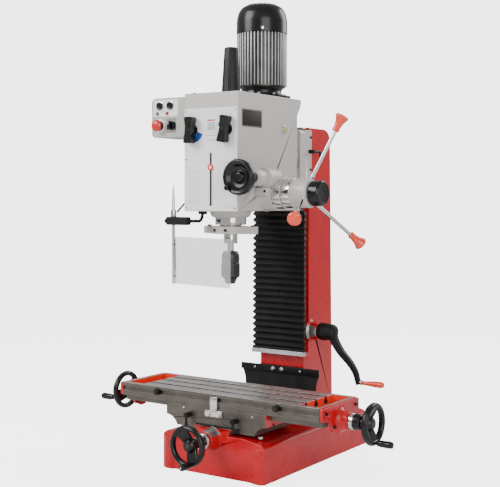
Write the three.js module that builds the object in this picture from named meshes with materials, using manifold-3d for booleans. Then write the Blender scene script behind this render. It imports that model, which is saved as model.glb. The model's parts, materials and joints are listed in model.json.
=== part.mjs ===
// A geared-head mill-drill: cast base, cross slide, T-slotted table, dovetail column, and a tilting head that
// holds the motor, gears, quill, spindle and drill chuck. Millimetres, +Z up, +X to the operator's right,
// -Y towards the operator. The origin is the centre of the base's footprint on the floor.
import * as THREE from "three";
import { mergeVertices } from "three/addons/utils/BufferGeometryUtils.js";
import Module from "manifold-3d";

const wasm = await Module();
wasm.setup();

// Driving dimensions.
const GAP = 0.3;
const BASE = { half: 206, front: -348, back: 348, side: 118, deck: 140, way: 163, pocket: 112 };
const Y_WAY = { neck: 62, crest: 78, inner: 40, back: 62 };
const COLUMN = { half: 92, front: 112, back: 262, foot: 292, low: 80, ledge: 358, top: 1170 };
const Z_WAY = { front: 69.5, half: 88, neck: 70, root: 100 };
const CHANNEL = { half: 55, wide: 74, mid: 125, back: 220, floor: 395, roof: 1148 };
const TABLE = { half: 400, depth: 120, y: -216, top: 270, under: 225, bottom: 205 };
const T_SLOT = { neck: 7, head: 12, step: 258, floor: 246, pitch: 63 };
const POCKET = { from: 318, to: 388, half: 102, floor: 240 };
const X_WAY = { neck: 61, crest: 78, top: 236 };
const X_SCREW = { z: 216, r: 9 };
const SADDLE = { half: 203, front: -336, back: -100, top: 204.7, bottom: 150 };
const Y_SCREW = { z: 126, r: 9 };
const WHEEL = { rim: 59, wire: 9, deep: 11, hub: 19, length: 38, front: -484, right: 525, left: -486 };
const CRANK = { y: 134, z: 440, r: 12, hub: 129, gripX: 300, gripZ: 270, pin: 4 };
const HEAD = { x: 107, front: -113, back: 250, bottom: 875, top: 1262, spindleY: -246 };
const CHAMBER = { half: 88, front: -95, back: 225, floor: 1035, roof: 1235 };
const TILT = { z: 1055, r: 100, front: 4.5, back: 30 };
const QUILL = { r: 37, bore: 22, bottom: 830, top: 1028 };
const SPINDLE = { r: 20, tail: 13 };
const PINION = { y: 57, z: 936, r: 13, gear: 19 };
const MOTOR = { y: 186, flange: 77, body: 80, fin: 88.5, top: 1590 };
const FEED = { x: 135, z: 986 };
const BOX = { x0: -262, x1: -108, front: -90, back: 40, bottom: 1122, top: 1255 };
const GUARD = { x: -149, y: -120, width: 276, swing: 0.2 };

const PAINT = {
  red: { color: 0xcd0a1e, roughness: 0.35, metalness: 0.1 },
  grey: { color: 0xbeb7b2, roughness: 0.45, metalness: 0.1 },
  white: { color: 0xeeeeec, roughness: 0.4, metalness: 0 },
  black: { color: 0x171616, roughness: 0.35, metalness: 0 },
  rubber: { color: 0x23211f, roughness: 0.8, metalness: 0 },
  iron: { color: 0x5a534c, roughness: 0.45, metalness: 0.9 },
  steel: { color: 0xb9b7b2, roughness: 0.25, metalness: 1 },
  alloy: { color: 0xa8adb5, roughness: 0.4, metalness: 0.8 },
  orange: { color: 0xeb5a30, roughness: 0.35, metalness: 0 },
  clear: { color: 0xdde4e8, roughness: 0.1, metalness: 0, transparent: true, opacity: 0.35 },
};

const UP = new THREE.Vector3(0, 1, 0);

// A closed three.js geometry as a solid, with its faces turned to point out. A profile that runs along its
// own axis leaves triangles with two equal corners there, and they are dropped.
function solid(geometry) {
  const bare = geometry.clone();
  bare.deleteAttribute("normal");
  bare.deleteAttribute("uv");
  const merged = mergeVertices(bare, 1e-4);
  const vertProperties = new Float32Array(merged.attributes.position.array);
  const corners = [];
  for (let i = 0; i < merged.index.count; i += 3) {
    const [a, b, c] = merged.index.array.slice(i, i + 3);
    if (a !== b && b !== c && c !== a) corners.push(a, b, c);
  }
  const triVerts = new Uint32Array(corners);
  const made = new wasm.Manifold(new wasm.Mesh({ numProp: 3, vertProperties, triVerts }));
  if (made.volume() > 0) return made;
  for (let i = 0; i < triVerts.length; i += 3) {
    [triVerts[i + 1], triVerts[i + 2]] = [triVerts[i + 2], triVerts[i + 1]];
  }
  return new wasm.Manifold(new wasm.Mesh({ numProp: 3, vertProperties, triVerts }));
}

function block(x0, x1, y0, y1, z0, z1) {
  const geometry = new THREE.BoxGeometry(x1 - x0, y1 - y0, z1 - z0);
  geometry.translate((x0 + x1) / 2, (y0 + y1) / 2, (z0 + z1) / 2);
  return solid(geometry);
}

// A round bar between two points, which may taper.
function bar(from, to, r1, r2 = r1, sides = 16) {
  const start = new THREE.Vector3(...from);
  const end = new THREE.Vector3(...to);
  const along = end.clone().sub(start);
  const geometry = new THREE.CylinderGeometry(r2, r1, along.length(), sides);
  geometry.applyQuaternion(new THREE.Quaternion().setFromUnitVectors(UP, along.clone().normalize()));
  const middle = start.add(end).multiplyScalar(0.5);
  geometry.translate(middle.x, middle.y, middle.z);
  return solid(geometry);
}

// A turned shape: [radius, distance] points, with the distance measured from `origin` along `direction`.
function turned(origin, direction, profile, sides = 20) {
  const outline = profile.map(([radius, distance]) => new THREE.Vector2(radius, distance));
  const geometry = new THREE.LatheGeometry(outline, sides);
  geometry.applyQuaternion(new THREE.Quaternion().setFromUnitVectors(UP, new THREE.Vector3(...direction)));
  geometry.translate(...origin);
  return solid(geometry);
}

// A pipe with straight walls: outer and inner radius, from one distance to another.
function ring(origin, direction, outer, inner, from, to, sides = 20) {
  return turned(
    origin,
    direction,
    [[inner, from], [outer, from], [outer, to], [inner, to], [inner, from]],
    sides,
  );
}

const PLANES = {
  x: new THREE.Matrix4().set(0, 0, 1, 0, 1, 0, 0, 0, 0, 1, 0, 0, 0, 0, 0, 1),
  y: new THREE.Matrix4().set(1, 0, 0, 0, 0, 0, -1, 0, 0, 1, 0, 0, 0, 0, 0, 1),
  z: new THREE.Matrix4(),
};

// An outline drawn out along an axis: (y, z) along x, (x, z) along y, or (x, y) along z.
function drawn(axis, outline, start, end, curveSegments = 8) {
  const shape = Array.isArray(outline)
    ? new THREE.Shape(outline.map(([u, v]) => new THREE.Vector2(u, v)))
    : outline;
  const geometry = new THREE.ExtrudeGeometry(shape, {
    depth: end - start,
    bevelEnabled: false,
    curveSegments,
  });
  geometry.applyMatrix4(PLANES[axis]);
  const shift = { x: [start, 0, 0], y: [0, end, 0], z: [0, 0, start] }[axis];
  geometry.translate(...shift);
  return solid(geometry);
}

// A rectangle with round corners.
function rounded(u0, u1, v0, v1, r) {
  const shape = new THREE.Shape();
  shape.moveTo(u0 + r, v0);
  shape.lineTo(u1 - r, v0);
  shape.absarc(u1 - r, v0 + r, r, -Math.PI / 2, 0);
  shape.lineTo(u1, v1 - r);
  shape.absarc(u1 - r, v1 - r, r, 0, Math.PI / 2);
  shape.lineTo(u0 + r, v1);
  shape.absarc(u0 + r, v1 - r, r, Math.PI / 2, Math.PI);
  shape.lineTo(u0, v0 + r);
  shape.absarc(u0 + r, v0 + r, r, Math.PI, 1.5 * Math.PI);
  return shape;
}

// A tube that follows a smooth curve through points.
function tube(points, radius, sides, steps) {
  const section = new THREE.Shape(
    Array.from({ length: sides }, (_, i) => {
      const angle = (2 * Math.PI * i) / sides;
      return new THREE.Vector2(radius * Math.cos(angle), radius * Math.sin(angle));
    }),
  );
  const path = new THREE.CatmullRomCurve3(points.map((point) => new THREE.Vector3(...point)));
  return solid(new THREE.ExtrudeGeometry(section, { steps, bevelEnabled: false, extrudePath: path }));
}

function joined(...parts) {
  return parts.reduce((whole, part) => whole.add(part));
}

function cut(whole, ...tools) {
  return tools.reduce((left, tool) => left.subtract(tool), whole);
}

const machine = new THREE.Group();

function assembly(x, y, z) {
  const group = new THREE.Group();
  group.position.set(x, y, z);
  machine.add(group);
  return group;
}

// One named piece, from a solid in the coordinates of its group.
function piece(group, name, shape, paint) {
  const { numProp, vertProperties, triVerts } = shape.getMesh();
  const geometry = new THREE.BufferGeometry();
  geometry.setAttribute("position", new THREE.BufferAttribute(vertProperties, numProp));
  geometry.setIndex(new THREE.BufferAttribute(triVerts, 1));
  geometry.computeVertexNormals();
  const mesh = new THREE.Mesh(geometry, new THREE.MeshStandardMaterial(PAINT[paint]));
  mesh.name = name;
  group.add(mesh);
  return mesh;
}

// ---------------------------------------------------------------- base, column and covers

function baseCasting() {
  const half = BASE.half;
  const right = [
    [half, 0],
    [half, BASE.side],
    [half - 14, BASE.side + 10],
    [120, BASE.deck],
    [Y_WAY.neck, BASE.deck],
    [Y_WAY.crest, BASE.way],
  ];
  const left = right.map(([x, z]) => [-x, z]).reverse();
  let casting = drawn("y", [...right, ...left], BASE.front, BASE.back);
  for (const side of [-1, 1]) {
    const pad = rounded(side * 180 - 26, side * 180 + 26, BASE.front - 9, BASE.front + 60, 20);
    casting = casting.add(drawn("z", pad, 0, BASE.side - 6, 4));
  }
  const boss = turned(
    [0, BASE.front + 1, Y_SCREW.z],
    [0, -1, 0],
    [[0, 0], [37, 0], [33, 8], [30, 44], [0, 44]],
  );
  casting = cut(
    casting.add(boss),
    block(-Y_WAY.inner, Y_WAY.inner, BASE.front + 20, 70, 60, BASE.way + 5),
    block(-Y_WAY.crest - 2, Y_WAY.crest + 2, Y_WAY.back, BASE.back + 1, BASE.deck, BASE.way + 5),
    bar([0, BASE.front - 50, Y_SCREW.z], [0, BASE.front + 30, Y_SCREW.z], Y_SCREW.r + 0.5),
    bar([0, 60, Y_SCREW.z], [0, 84, Y_SCREW.z], Y_SCREW.r + 0.5),
  );
  // Cored pockets in the underside, two rows of four, with ribs between them.
  const rib = 20;
  const pitch = (BASE.back - BASE.front - rib) / 4;
  for (let i = 0; i < 4; i += 1) {
    const start = BASE.front + rib + i * pitch;
    for (const [x0, x1] of [[-180, -56], [56, 180]]) {
      casting = casting.subtract(block(x0, x1, start, start + pitch - rib, -1, BASE.pocket));
    }
  }
  return casting;
}

function columnCasting() {
  const corner = 46;
  const side = new THREE.Shape();
  side.moveTo(COLUMN.low, BASE.deck + GAP);
  side.lineTo(COLUMN.foot, BASE.deck + GAP);
  side.lineTo(COLUMN.back, COLUMN.top - corner);
  side.absarc(COLUMN.back - corner, COLUMN.top - corner, corner, 0, Math.PI / 2);
  side.lineTo(COLUMN.front, COLUMN.top);
  side.lineTo(COLUMN.front, COLUMN.ledge + 4);
  side.lineTo(COLUMN.low, COLUMN.ledge);
  const body = drawn("x", side, -COLUMN.half, COLUMN.half);
  const way = [
    [Z_WAY.half, Z_WAY.front],
    [Z_WAY.neck, Z_WAY.root],
    [Z_WAY.neck, COLUMN.front + 2],
  ];
  const otherWay = way.map(([x, y]) => [-x, y]).reverse();
  const dovetail = drawn("z", [...way, ...otherWay], COLUMN.ledge + 2, COLUMN.top);
  const boss = turned(
    [COLUMN.half - 1, CRANK.y, CRANK.z],
    [1, 0, 0],
    [[0, 0], [40, 0], [33, 8], [30, 36], [0, 36]],
  );
  return cut(
    joined(body, dovetail, boss),
    block(-CHANNEL.half, CHANNEL.half, 60, CHANNEL.mid + 1, CHANNEL.floor, CHANNEL.roof),
    block(-CHANNEL.wide, CHANNEL.wide, CHANNEL.mid, CHANNEL.back, CHANNEL.floor, CHANNEL.roof),
    block(-CHANNEL.wide, CHANNEL.wide, COLUMN.low + 20, COLUMN.foot - 20, BASE.deck, CHANNEL.floor - 55),
    bar([40, CRANK.y, CRANK.z], [140, CRANK.y, CRANK.z], CRANK.r + 0.5),
    bar([0, CRANK.y, CHANNEL.floor - 13], [0, CRANK.y, CHANNEL.floor + 5], 10.5),
    bar([0, CRANK.y, CHANNEL.roof - 5], [0, CRANK.y, COLUMN.top + 5], 10.5),
  );
}

// The folded cover in front of the column ways: a zigzag of pleats, drawn across the width.
function bellows() {
  const bottom = 380;
  const pitch = 22.4;
  const pleats = 22;
  const front = [[46, COLUMN.ledge - 2], [46, bottom - 1]];
  for (let i = 0; i < pleats; i += 1) {
    front.push([54, bottom + pitch * i]);
    front.push([46, bottom + pitch * (i + 0.5)]);
  }
  front.push([54, bottom + pitch * pleats]);
  front.push([66, bottom + pitch * pleats]);
  front.push([66, COLUMN.ledge - 2]);
  return drawn("x", front, -110, 110);
}

const frame = assembly(0, 0, 0);
piece(frame, "base_casting", baseCasting(), "red");
piece(frame, "column_casting", columnCasting(), "red");
piece(frame, "way_cover_bellows", bellows(), "rubber");
piece(
  frame,
  "way_flap",
  joined(
    drawn("y", [[-150, 176], [150, 176], [158, 240], [165, 300], [-165, 300], [-158, 240]], 67, 73),
    block(-165, 165, 60, 67.5, 288, 311),
    block(-90, 90, 66, COLUMN.low - GAP, 299, 311),
  ),
  "rubber",
);

const screwZ = turned(
  [0, CRANK.y, 0],
  [0, 0, 1],
  [
    [0, 384], [10, 384], [10, 396], [14, 396], [35, 403.5], [23, 415.5], [13, 415.5],
    [13, CHANNEL.roof - 1], [10, CHANNEL.roof - 1], [10, COLUMN.top - 2], [0, COLUMN.top - 2],
  ],
  24,
);
piece(frame, "z_screw", screwZ, "steel");

function crankShaft() {
  return turned(
    [0, CRANK.y, CRANK.z],
    [1, 0, 0],
    [[0, 20], [14, 20], [23, 24.5], [35, 36.5], [35, 44], [CRANK.r, 44], [CRANK.r, CRANK.hub + 58], [0, CRANK.hub + 58]],
    24,
  );
}
piece(frame, "crank_shaft", crankShaft(), "steel");

// The S-bent crank arm: the centre line is drawn with a width, and the hub joins its upper end.
function crankArm() {
  const centre = new THREE.SplineCurve(
    [[178, 450], [187, 415], [214, 374], [252, 336], [274, 304], [287, 262]].map(
      ([x, z]) => new THREE.Vector2(x, z),
    ),
  );
  const steps = 10;
  const outer = [];
  const inner = [];
  for (let i = 0; i <= steps; i += 1) {
    const t = i / steps;
    const point = centre.getPoint(t);
    const along = centre.getTangent(t);
    const width = THREE.MathUtils.lerp(16, 8.5, t);
    outer.push([point.x - along.y * width, point.y + along.x * width]);
    inner.unshift([point.x + along.y * width, point.y - along.x * width]);
  }
  const arm = drawn("y", [...outer, ...inner], CRANK.y - 13, CRANK.y + 13);
  const hub = turned(
    [0, CRANK.y, CRANK.z],
    [1, 0, 0],
    [
      [0, CRANK.hub], [30, CRANK.hub], [32, CRANK.hub + 16], [28, CRANK.hub + 54], [22, CRANK.hub + 64],
      [0, CRANK.hub + 64],
    ],
  );
  const pin = bar([287, CRANK.y, CRANK.gripZ], [374, CRANK.y, CRANK.gripZ], CRANK.pin, CRANK.pin, 12);
  return cut(joined(arm, hub, pin), bar([100, CRANK.y, CRANK.z], [CRANK.hub + 58.3, CRANK.y, CRANK.z], CRANK.r + GAP));
}
piece(frame, "crank_arm", crankArm(), "black");
const crankGrip = turned([0, CRANK.y, CRANK.gripZ], [1, 0, 0], [
  [0, CRANK.gripX + 76], [0, CRANK.gripX + 85], [8, CRANK.gripX + 85], [11, CRANK.gripX + 76],
  [10.6, CRANK.gripX + 54], [8, CRANK.gripX + 22], [7, CRANK.gripX], [CRANK.pin + GAP, CRANK.gripX],
  [CRANK.pin + GAP, CRANK.gripX + 76], [0, CRANK.gripX + 76],
], 14);
piece(frame, "crank_grip", crankGrip, "orange");

// ---------------------------------------------------------------- cross slide

const cross = assembly(0, TABLE.y, 0);

function saddleCasting() {
  const front = SADDLE.front - TABLE.y;
  const back = SADDLE.back - TABLE.y;
  const outline = new THREE.Shape();
  const arc = 48;
  outline.moveTo(SADDLE.half, SADDLE.top);
  outline.lineTo(-SADDLE.half, SADDLE.top);
  outline.lineTo(-SADDLE.half, SADDLE.bottom + 32);
  outline.absarc(-SADDLE.half, SADDLE.bottom - 16, arc, Math.PI / 2, Math.asin(16 / arc), true);
  outline.lineTo(SADDLE.half - 46, SADDLE.bottom);
  outline.absarc(SADDLE.half, SADDLE.bottom - 16, arc, Math.PI - Math.asin(16 / arc), Math.PI / 2, true);
  const body = drawn("y", outline, front, back, 10);
  const tongue = drawn(
    "x",
    [
      [-X_WAY.neck, SADDLE.top - 1],
      [X_WAY.neck, SADDLE.top - 1],
      [X_WAY.neck + 0.2, SADDLE.top + 2],
      [X_WAY.crest, X_WAY.top],
      [-X_WAY.crest, X_WAY.top],
      [-X_WAY.neck - 0.2, SADDLE.top + 2],
    ],
    -SADDLE.half,
    SADDLE.half,
  );
  const apron = block(-SADDLE.half, SADDLE.half, front, -99, SADDLE.top - 1, 224.3);
  const rear = block(-SADDLE.half, SADDLE.half, 99, back, SADDLE.top - 1, 224.3);
  const groove = drawn(
    "y",
    [
      [-Y_WAY.neck - 1.2, SADDLE.bottom - 2],
      [Y_WAY.neck + 11.5, SADDLE.bottom - 2],
      [Y_WAY.crest + 1.5, BASE.way + 1.6],
      [-Y_WAY.crest - 1.5, BASE.way + 1.6],
      [-Y_WAY.neck - 11.5, SADDLE.bottom - 2],
    ],
    front - 1,
    back + 1,
  );
  const nutPost = block(-28, 28, -20, 40, 100, SADDLE.bottom + 22);
  return cut(
    joined(cut(joined(body, tongue, apron, rear), groove), nutPost),
    bar([-300, 0, X_SCREW.z], [300, 0, X_SCREW.z], X_SCREW.r + 0.6),
    block(-SADDLE.half - 1, -40, -13, 13, X_SCREW.z, X_WAY.top + 1),
    block(40, SADDLE.half + 1, -13, 13, X_SCREW.z, X_WAY.top + 1),
    bar([0, -30, Y_SCREW.z], [0, 50, Y_SCREW.z], Y_SCREW.r + 0.6),
  );
}
piece(cross, "saddle_casting", saddleCasting(), "iron");

const saddleFace = SADDLE.front - TABLE.y;
for (const [name, x] of [["saddle_lock_left", -100], ["saddle_lock_right", 90]]) {
  const stud = bar([x, saddleFace - GAP, 190], [x, saddleFace - 30, 190], 9, 9, 12);
  const lever = block(x - 7, x + 7, saddleFace - 30, saddleFace - 18, 154, 196);
  piece(cross, name, joined(stud, lever), "black");
}

// Feed screw for the cross slide, turned in the base's front wall and the wall behind the trench.
piece(
  frame,
  "y_screw",
  joined(
    bar([0, WHEEL.front + 6, Y_SCREW.z], [0, 83, Y_SCREW.z], Y_SCREW.r, Y_SCREW.r, 12),
    bar([0, BASE.front - 43.6, Y_SCREW.z], [0, BASE.front - 64, Y_SCREW.z], 27, 26),
  ),
  "steel",
);

// A handwheel about its own +Z: round rim, a dished web on each side of the hub, and a bore that stops short.
function handwheel() {
  const rim = turned(
    [0, 0, 0],
    [0, 0, 1],
    Array.from({ length: 7 }, (_, i) => {
      const angle = (2 * Math.PI * (i % 6)) / 6 + Math.PI / 6;
      return [WHEEL.rim + WHEEL.wire * Math.cos(angle), WHEEL.deep * Math.sin(angle)];
    }),
    20,
  );
  const web = drawn(
    "y",
    [[-12, -20], [12, -20], [56, 0], [54, 7], [12, -11], [-12, -11], [-54, 7], [-56, 0]],
    -20,
    20,
  );
  const hub = turned([0, 0, 0], [0, 0, 1], [
    [0, -WHEEL.length], [WHEEL.hub, -WHEEL.length], [WHEEL.hub + 4, -14], [16, 2], [0, 2],
  ], 16);
  return cut(joined(rim, web, hub), bar([0, 0, -50], [0, 0, -3], 9 + GAP, 9 + GAP, 12));
}

function handleGrip() {
  return turned([WHEEL.rim - 1, 0, 0], [0, 0, 1], [
    [0, 11.4], [6, 11.4], [6, 14], [10, 18], [11.5, 60], [9, 70], [0, 70],
  ], 12);
}

const wheelShape = handwheel();
const gripShape = handleGrip();

// Places a handwheel and its grip: their +Z turns to `outward`, and their +X, where the grip is, to `toGrip`.
function placeWheel(group, name, position, outward, toGrip) {
  const z = new THREE.Vector3(...outward);
  const x = new THREE.Vector3(...toGrip).normalize();
  const y = z.clone().cross(x);
  const turn = new THREE.Matrix4().makeBasis(x, y, z);
  for (const [part, shape] of [["handwheel", wheelShape], ["handle_grip", gripShape]]) {
    const mesh = piece(group, `${name}_${part}`, shape, "black");
    mesh.quaternion.setFromRotationMatrix(turn);
    mesh.position.set(...position);
  }
}
placeWheel(frame, "y", [0, WHEEL.front, Y_SCREW.z], [0, -1, 0], [0.45, 0, -0.89]);

// ---------------------------------------------------------------- table

const bed = assembly(0, TABLE.y, 0);

function tableCasting() {
  const half = TABLE.depth;
  const right = [
    [98, TABLE.bottom],
    [98, TABLE.under],
    [half, TABLE.under],
    [half, 246],
    [half - 8, 246],
    [half - 8, 259],
    [half, 259],
    [half, TABLE.top],
  ];
  const left = right.map(([y, z]) => [-y, z]).reverse();
  const under = [
    [-X_WAY.neck - 0.8, TABLE.bottom],
    [-X_WAY.crest - 0.8, X_WAY.top + 1],
    [X_WAY.crest + 0.8, X_WAY.top + 1],
    [X_WAY.neck + 0.8, TABLE.bottom],
  ];
  const outline = [...left, ...under, ...right];
  let table = drawn("x", outline, -TABLE.half, TABLE.half);
  for (const y of [-T_SLOT.pitch, 0, T_SLOT.pitch]) {
    const slot = joined(
      block(-POCKET.to, POCKET.to, y - T_SLOT.neck, y + T_SLOT.neck, T_SLOT.floor, TABLE.top + 1),
      block(-POCKET.to, POCKET.to, y - T_SLOT.head, y + T_SLOT.head, T_SLOT.floor, T_SLOT.step),
    );
    table = table.subtract(slot);
  }
  return cut(
    table,
    block(POCKET.from, POCKET.to, -POCKET.half, POCKET.half, POCKET.floor, TABLE.top + 1),
    block(-POCKET.to, -POCKET.from, -POCKET.half, POCKET.half, POCKET.floor, TABLE.top + 1),
  );
}
piece(bed, "table_casting", tableCasting(), "iron");

// End bracket on the side +1 or -1: a cheek over the table's end face with a flared boss around the screw.
function endBracket(side) {
  const start = TABLE.half + GAP;
  const thick = 11;
  const cheek = drawn("x", [
    [-119, 226], [-119, 269], [119, 269], [119, 226], [70, 222], [46, 180], [-46, 180], [-70, 222],
  ], side > 0 ? start : -start - thick, side > 0 ? start + thick : -start);
  const boss = turned([side * (start + thick - 2), 0, X_SCREW.z], [side, 0, 0], [
    [0, 0], [50, 0], [39, 6], [32, 18], [30, 36.4], [0, 36.4],
  ]);
  const bore = bar([side * (start - 1), 0, X_SCREW.z], [side * (start + 60), 0, X_SCREW.z], X_SCREW.r + 0.5);
  return cut(joined(cheek, boss), bore);
}
piece(bed, "table_end_bracket_right", endBracket(1), "red");
piece(bed, "table_end_bracket_left", endBracket(-1), "red");
piece(
  bed,
  "x_screw",
  joined(
    bar([WHEEL.left + 6, 0, X_SCREW.z], [WHEEL.right - 6, 0, X_SCREW.z], X_SCREW.r, X_SCREW.r, 12),
    bar([446, 0, X_SCREW.z], [462, 0, X_SCREW.z], 27, 27),
    bar([461, 0, X_SCREW.z], [486.6, 0, X_SCREW.z], 27, 24),
  ),
  "steel",
);
placeWheel(bed, "x_right", [WHEEL.right, 0, X_SCREW.z], [1, 0, 0], [0, 0, -1]);
placeWheel(bed, "x_left", [WHEEL.left, 0, X_SCREW.z], [-1, 0, 0], [0, -0.92, -0.38]);

const dogFace = -TABLE.depth + 8;
for (const [name, x] of [["stop_dog_left", -243], ["stop_dog_right", 243]]) {
  const dog = joined(
    block(x - 11, x + 11, -TABLE.depth - 1, dogFace - GAP, 246.5, 258.5),
    bar([x, -TABLE.depth, 252.5], [x, -TABLE.depth - 13, 252.5], 11, 11, 14),
  );
  piece(bed, name, dog, "black");
}

// ---------------------------------------------------------------- head carrier

const lift = assembly(0, 0, 0);

function headCarrier() {
  const front = TILT.back;
  const slab = drawn("y", rounded(-104, 104, 890, 1160, 14), front, Z_WAY.front - 0.8, 4);
  const round = bar([0, TILT.front, TILT.z], [0, front + 1, TILT.z], TILT.r, TILT.r, 24);
  const clearance = 0.8;
  const jaw = [
    [104, Z_WAY.front - 2],
    [104, 108],
    [Z_WAY.neck + clearance, 108],
    [Z_WAY.neck + clearance, Z_WAY.root + 1],
    [Z_WAY.half + clearance + 0.5, Z_WAY.front - 0.8],
    [Z_WAY.half + clearance, Z_WAY.front - 2],
  ];
  const otherJaw = jaw.map(([x, y]) => [-x, y]).reverse();
  const nutArm = cut(
    block(-30, 30, Z_WAY.front - 2, CRANK.y + 22, 1000, 1060),
    bar([0, CRANK.y, 990], [0, CRANK.y, 1070], 13.4),
  );
  return joined(slab, round, drawn("z", jaw, 890, 1160), drawn("z", otherJaw, 890, 1160), nutArm);
}
piece(lift, "head_carrier", headCarrier(), "grey");
piece(
  lift,
  "column_lock_lever",
  joined(
    bar([104.3, 92, 1082], [124, 92, 1082], 7, 7, 12),
    block(116, 126, 86, 146, 1077, 1087),
    block(116, 126, 136, 146, 1040, 1087),
  ),
  "black",
);

// ---------------------------------------------------------------- head

const head = assembly(0, HEAD.spindleY, 0);

function headCasting() {
  const side = [
    [HEAD.front, HEAD.bottom],
    [HEAD.back, HEAD.bottom],
    [HEAD.back, 1205],
    [HEAD.back + 24, HEAD.top - 14],
    [HEAD.back + 24, HEAD.top],
    [HEAD.front, HEAD.top],
  ];
  const body = drawn("x", side, -HEAD.x, HEAD.x);
  const nose = turned([0, 0, HEAD.bottom + 1], [0, 0, -1], [
    [0, 0], [70, 0], [64, 16], [58, 21], [52, 21.3], [52, 46], [0, 46],
  ]);
  const pinionBoss = turned([HEAD.x - 1, PINION.y, PINION.z], [1, 0, 0], [
    [0, 0], [60, 0], [57, 12], [54, 44], [51, 44.3], [51, 81], [0, 81],
  ]);
  const feedBoss = bar([FEED.x, -10, FEED.z], [FEED.x, 60, FEED.z], 33, 33, 16);
  const feedWeb = block(HEAD.x - 1, FEED.x, -10, 60, FEED.z - 33, FEED.z + 33);
  const rearPocket = block(-CHAMBER.half, CHAMBER.half, 125, CHAMBER.back, 900, CHAMBER.floor + 1);
  return cut(
    joined(body, nose, pinionBoss, feedBoss, feedWeb),
    block(-CHAMBER.half, CHAMBER.half, CHAMBER.front, CHAMBER.back, CHAMBER.floor, CHAMBER.roof),
    rearPocket,
    block(-56, 56, HEAD.front - 1, CHAMBER.front + 1, 1060, 1180),
    bar([0, 0, 820], [0, 0, CHAMBER.floor + 1], QUILL.r + 0.6, QUILL.r + 0.6, 20),
    bar([0, 0, CHAMBER.roof - 1], [0, 0, HEAD.top + 1], 24),
    bar([0, MOTOR.y, CHAMBER.roof - 1], [0, MOTOR.y, HEAD.top + 1], 30),
    bar([-90, PINION.y, PINION.z], [190, PINION.y, PINION.z], PINION.r + 0.5),
    bar([-16, PINION.y, PINION.z], [16, PINION.y, PINION.z], PINION.gear + 3),
    bar([0, 96, CHAMBER.floor - 14], [0, 96, CHAMBER.floor + 1], 10.5),
    bar([0, 96, CHAMBER.roof - 1], [0, 96, CHAMBER.roof + 12], 10.5),
    bar([FEED.x, -11, FEED.z], [FEED.x, 40, FEED.z], 8.5, 8.5, 12),
    drawn("x", [[HEAD.front - 1, 893], [HEAD.front + 14, 893], [HEAD.front + 14, 1066], [HEAD.front - 1, 1066]],
      -2.5, 5.5),
    bar([-70, HEAD.front - 1, 1142], [-70, CHAMBER.front + 1, 1142], 8.5, 8.5, 12),
    bar([68, HEAD.front - 1, 1142], [68, CHAMBER.front + 1, 1142], 8.5, 8.5, 12),
  );
}
piece(head, "head_casting", headCasting(), "grey");

const plateFront = HEAD.front - 3.3;
function frontPlate() {
  return cut(
    block(-106, 106, plateFront, HEAD.front - GAP, 877, 1212),
    block(-2.5, 5.5, plateFront - 1, HEAD.front, 893, 1066),
    bar([-70, plateFront - 1, 1142], [-70, HEAD.front, 1142], 8.5, 8.5, 12),
    bar([68, plateFront - 1, 1142], [68, HEAD.front, 1142], 8.5, 8.5, 12),
  );
}
piece(head, "head_front_plate", frontPlate(), "white");

// Motor on the head: flange, finned body, fan cover, and the rotor with its pinion and fan.
function motorBody() {
  const outline = [];
  const fins = 20;
  for (let i = 0; i < fins; i += 1) {
    for (const [step, radius] of [[0, MOTOR.body], [0.3, MOTOR.body], [0.36, MOTOR.fin], [0.62, MOTOR.fin]]) {
      const angle = (2 * Math.PI * (i + step)) / fins;
      outline.push([radius * Math.cos(angle), radius * Math.sin(angle) + MOTOR.y]);
    }
  }
  const flange = joined(
    bar([0, MOTOR.y, HEAD.top + GAP], [0, MOTOR.y, 1301], MOTOR.flange, MOTOR.flange, 24),
    block(20, 84, MOTOR.y - 30, MOTOR.y + 30, HEAD.top + GAP, 1278),
  );
  return cut(
    joined(drawn("z", outline, 1300, 1485), flange),
    bar([0, MOTOR.y, 1250], [0, MOTOR.y, 1310], 30),
    bar([0, MOTOR.y, 1305], [0, MOTOR.y, 1476], 52),
    bar([0, MOTOR.y, 1470], [0, MOTOR.y, 1490], 11, 11, 12),
  );
}
piece(head, "motor_body", motorBody(), "alloy");
piece(
  head,
  "motor_fan_cover",
  turned([0, MOTOR.y, 0], [0, 0, 1], [
    [84, 1485.3], [88.5, 1485.3], [88, 1534], [82, 1560], [70, 1577], [50, 1587], [0, MOTOR.top],
    [0, 1583], [48, 1580], [66, 1571], [77, 1556], [83, 1532], [84, 1485.3],
  ], 24),
  "black",
);
piece(
  head,
  "motor_rotor",
  turned([0, MOTOR.y, 0], [0, 0, 1], [
    [0, 1130], [12, 1130], [12, 1148], [24.7, 1148], [24.7, 1180], [12, 1180], [12, 1312], [47, 1312],
    [47, 1468], [10, 1468], [10, 1504], [66, 1504], [66, 1536], [0, 1536],
  ], 18),
  "steel",
);
piece(
  head,
  "intermediate_gear",
  turned([0, 96, 0], [0, 0, 1], [
    [0, 1022], [10, 1022], [10, 1090], [29.7, 1090], [29.7, 1126], [14, 1126], [14, 1150], [64.7, 1150],
    [64.7, 1176], [10, 1176], [10, 1244], [0, 1244],
  ], 24),
  "steel",
);
piece(
  head,
  "spindle_gear",
  turned([0, 0, 0], [0, 0, 1], [
    [SPINDLE.tail + GAP, 1044], [22, 1044], [22, 1092], [65.7, 1092], [65.7, 1124], [22, 1124],
    [22, 1260], [SPINDLE.tail + GAP, 1260], [SPINDLE.tail + GAP, 1044],
  ], 24),
  "steel",
);
piece(
  head,
  "drawbar_cover",
  turned([0, 0, 0], [0, 0, 1], [
    [0, 1419], [20, 1419], [23.5, 1413], [32.5, HEAD.top + GAP], [28, HEAD.top + GAP], [19, 1409], [0, 1409],
  ], 18),
  "black",
);

// ---------------------------------------------------------------- quill, spindle and chuck

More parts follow.
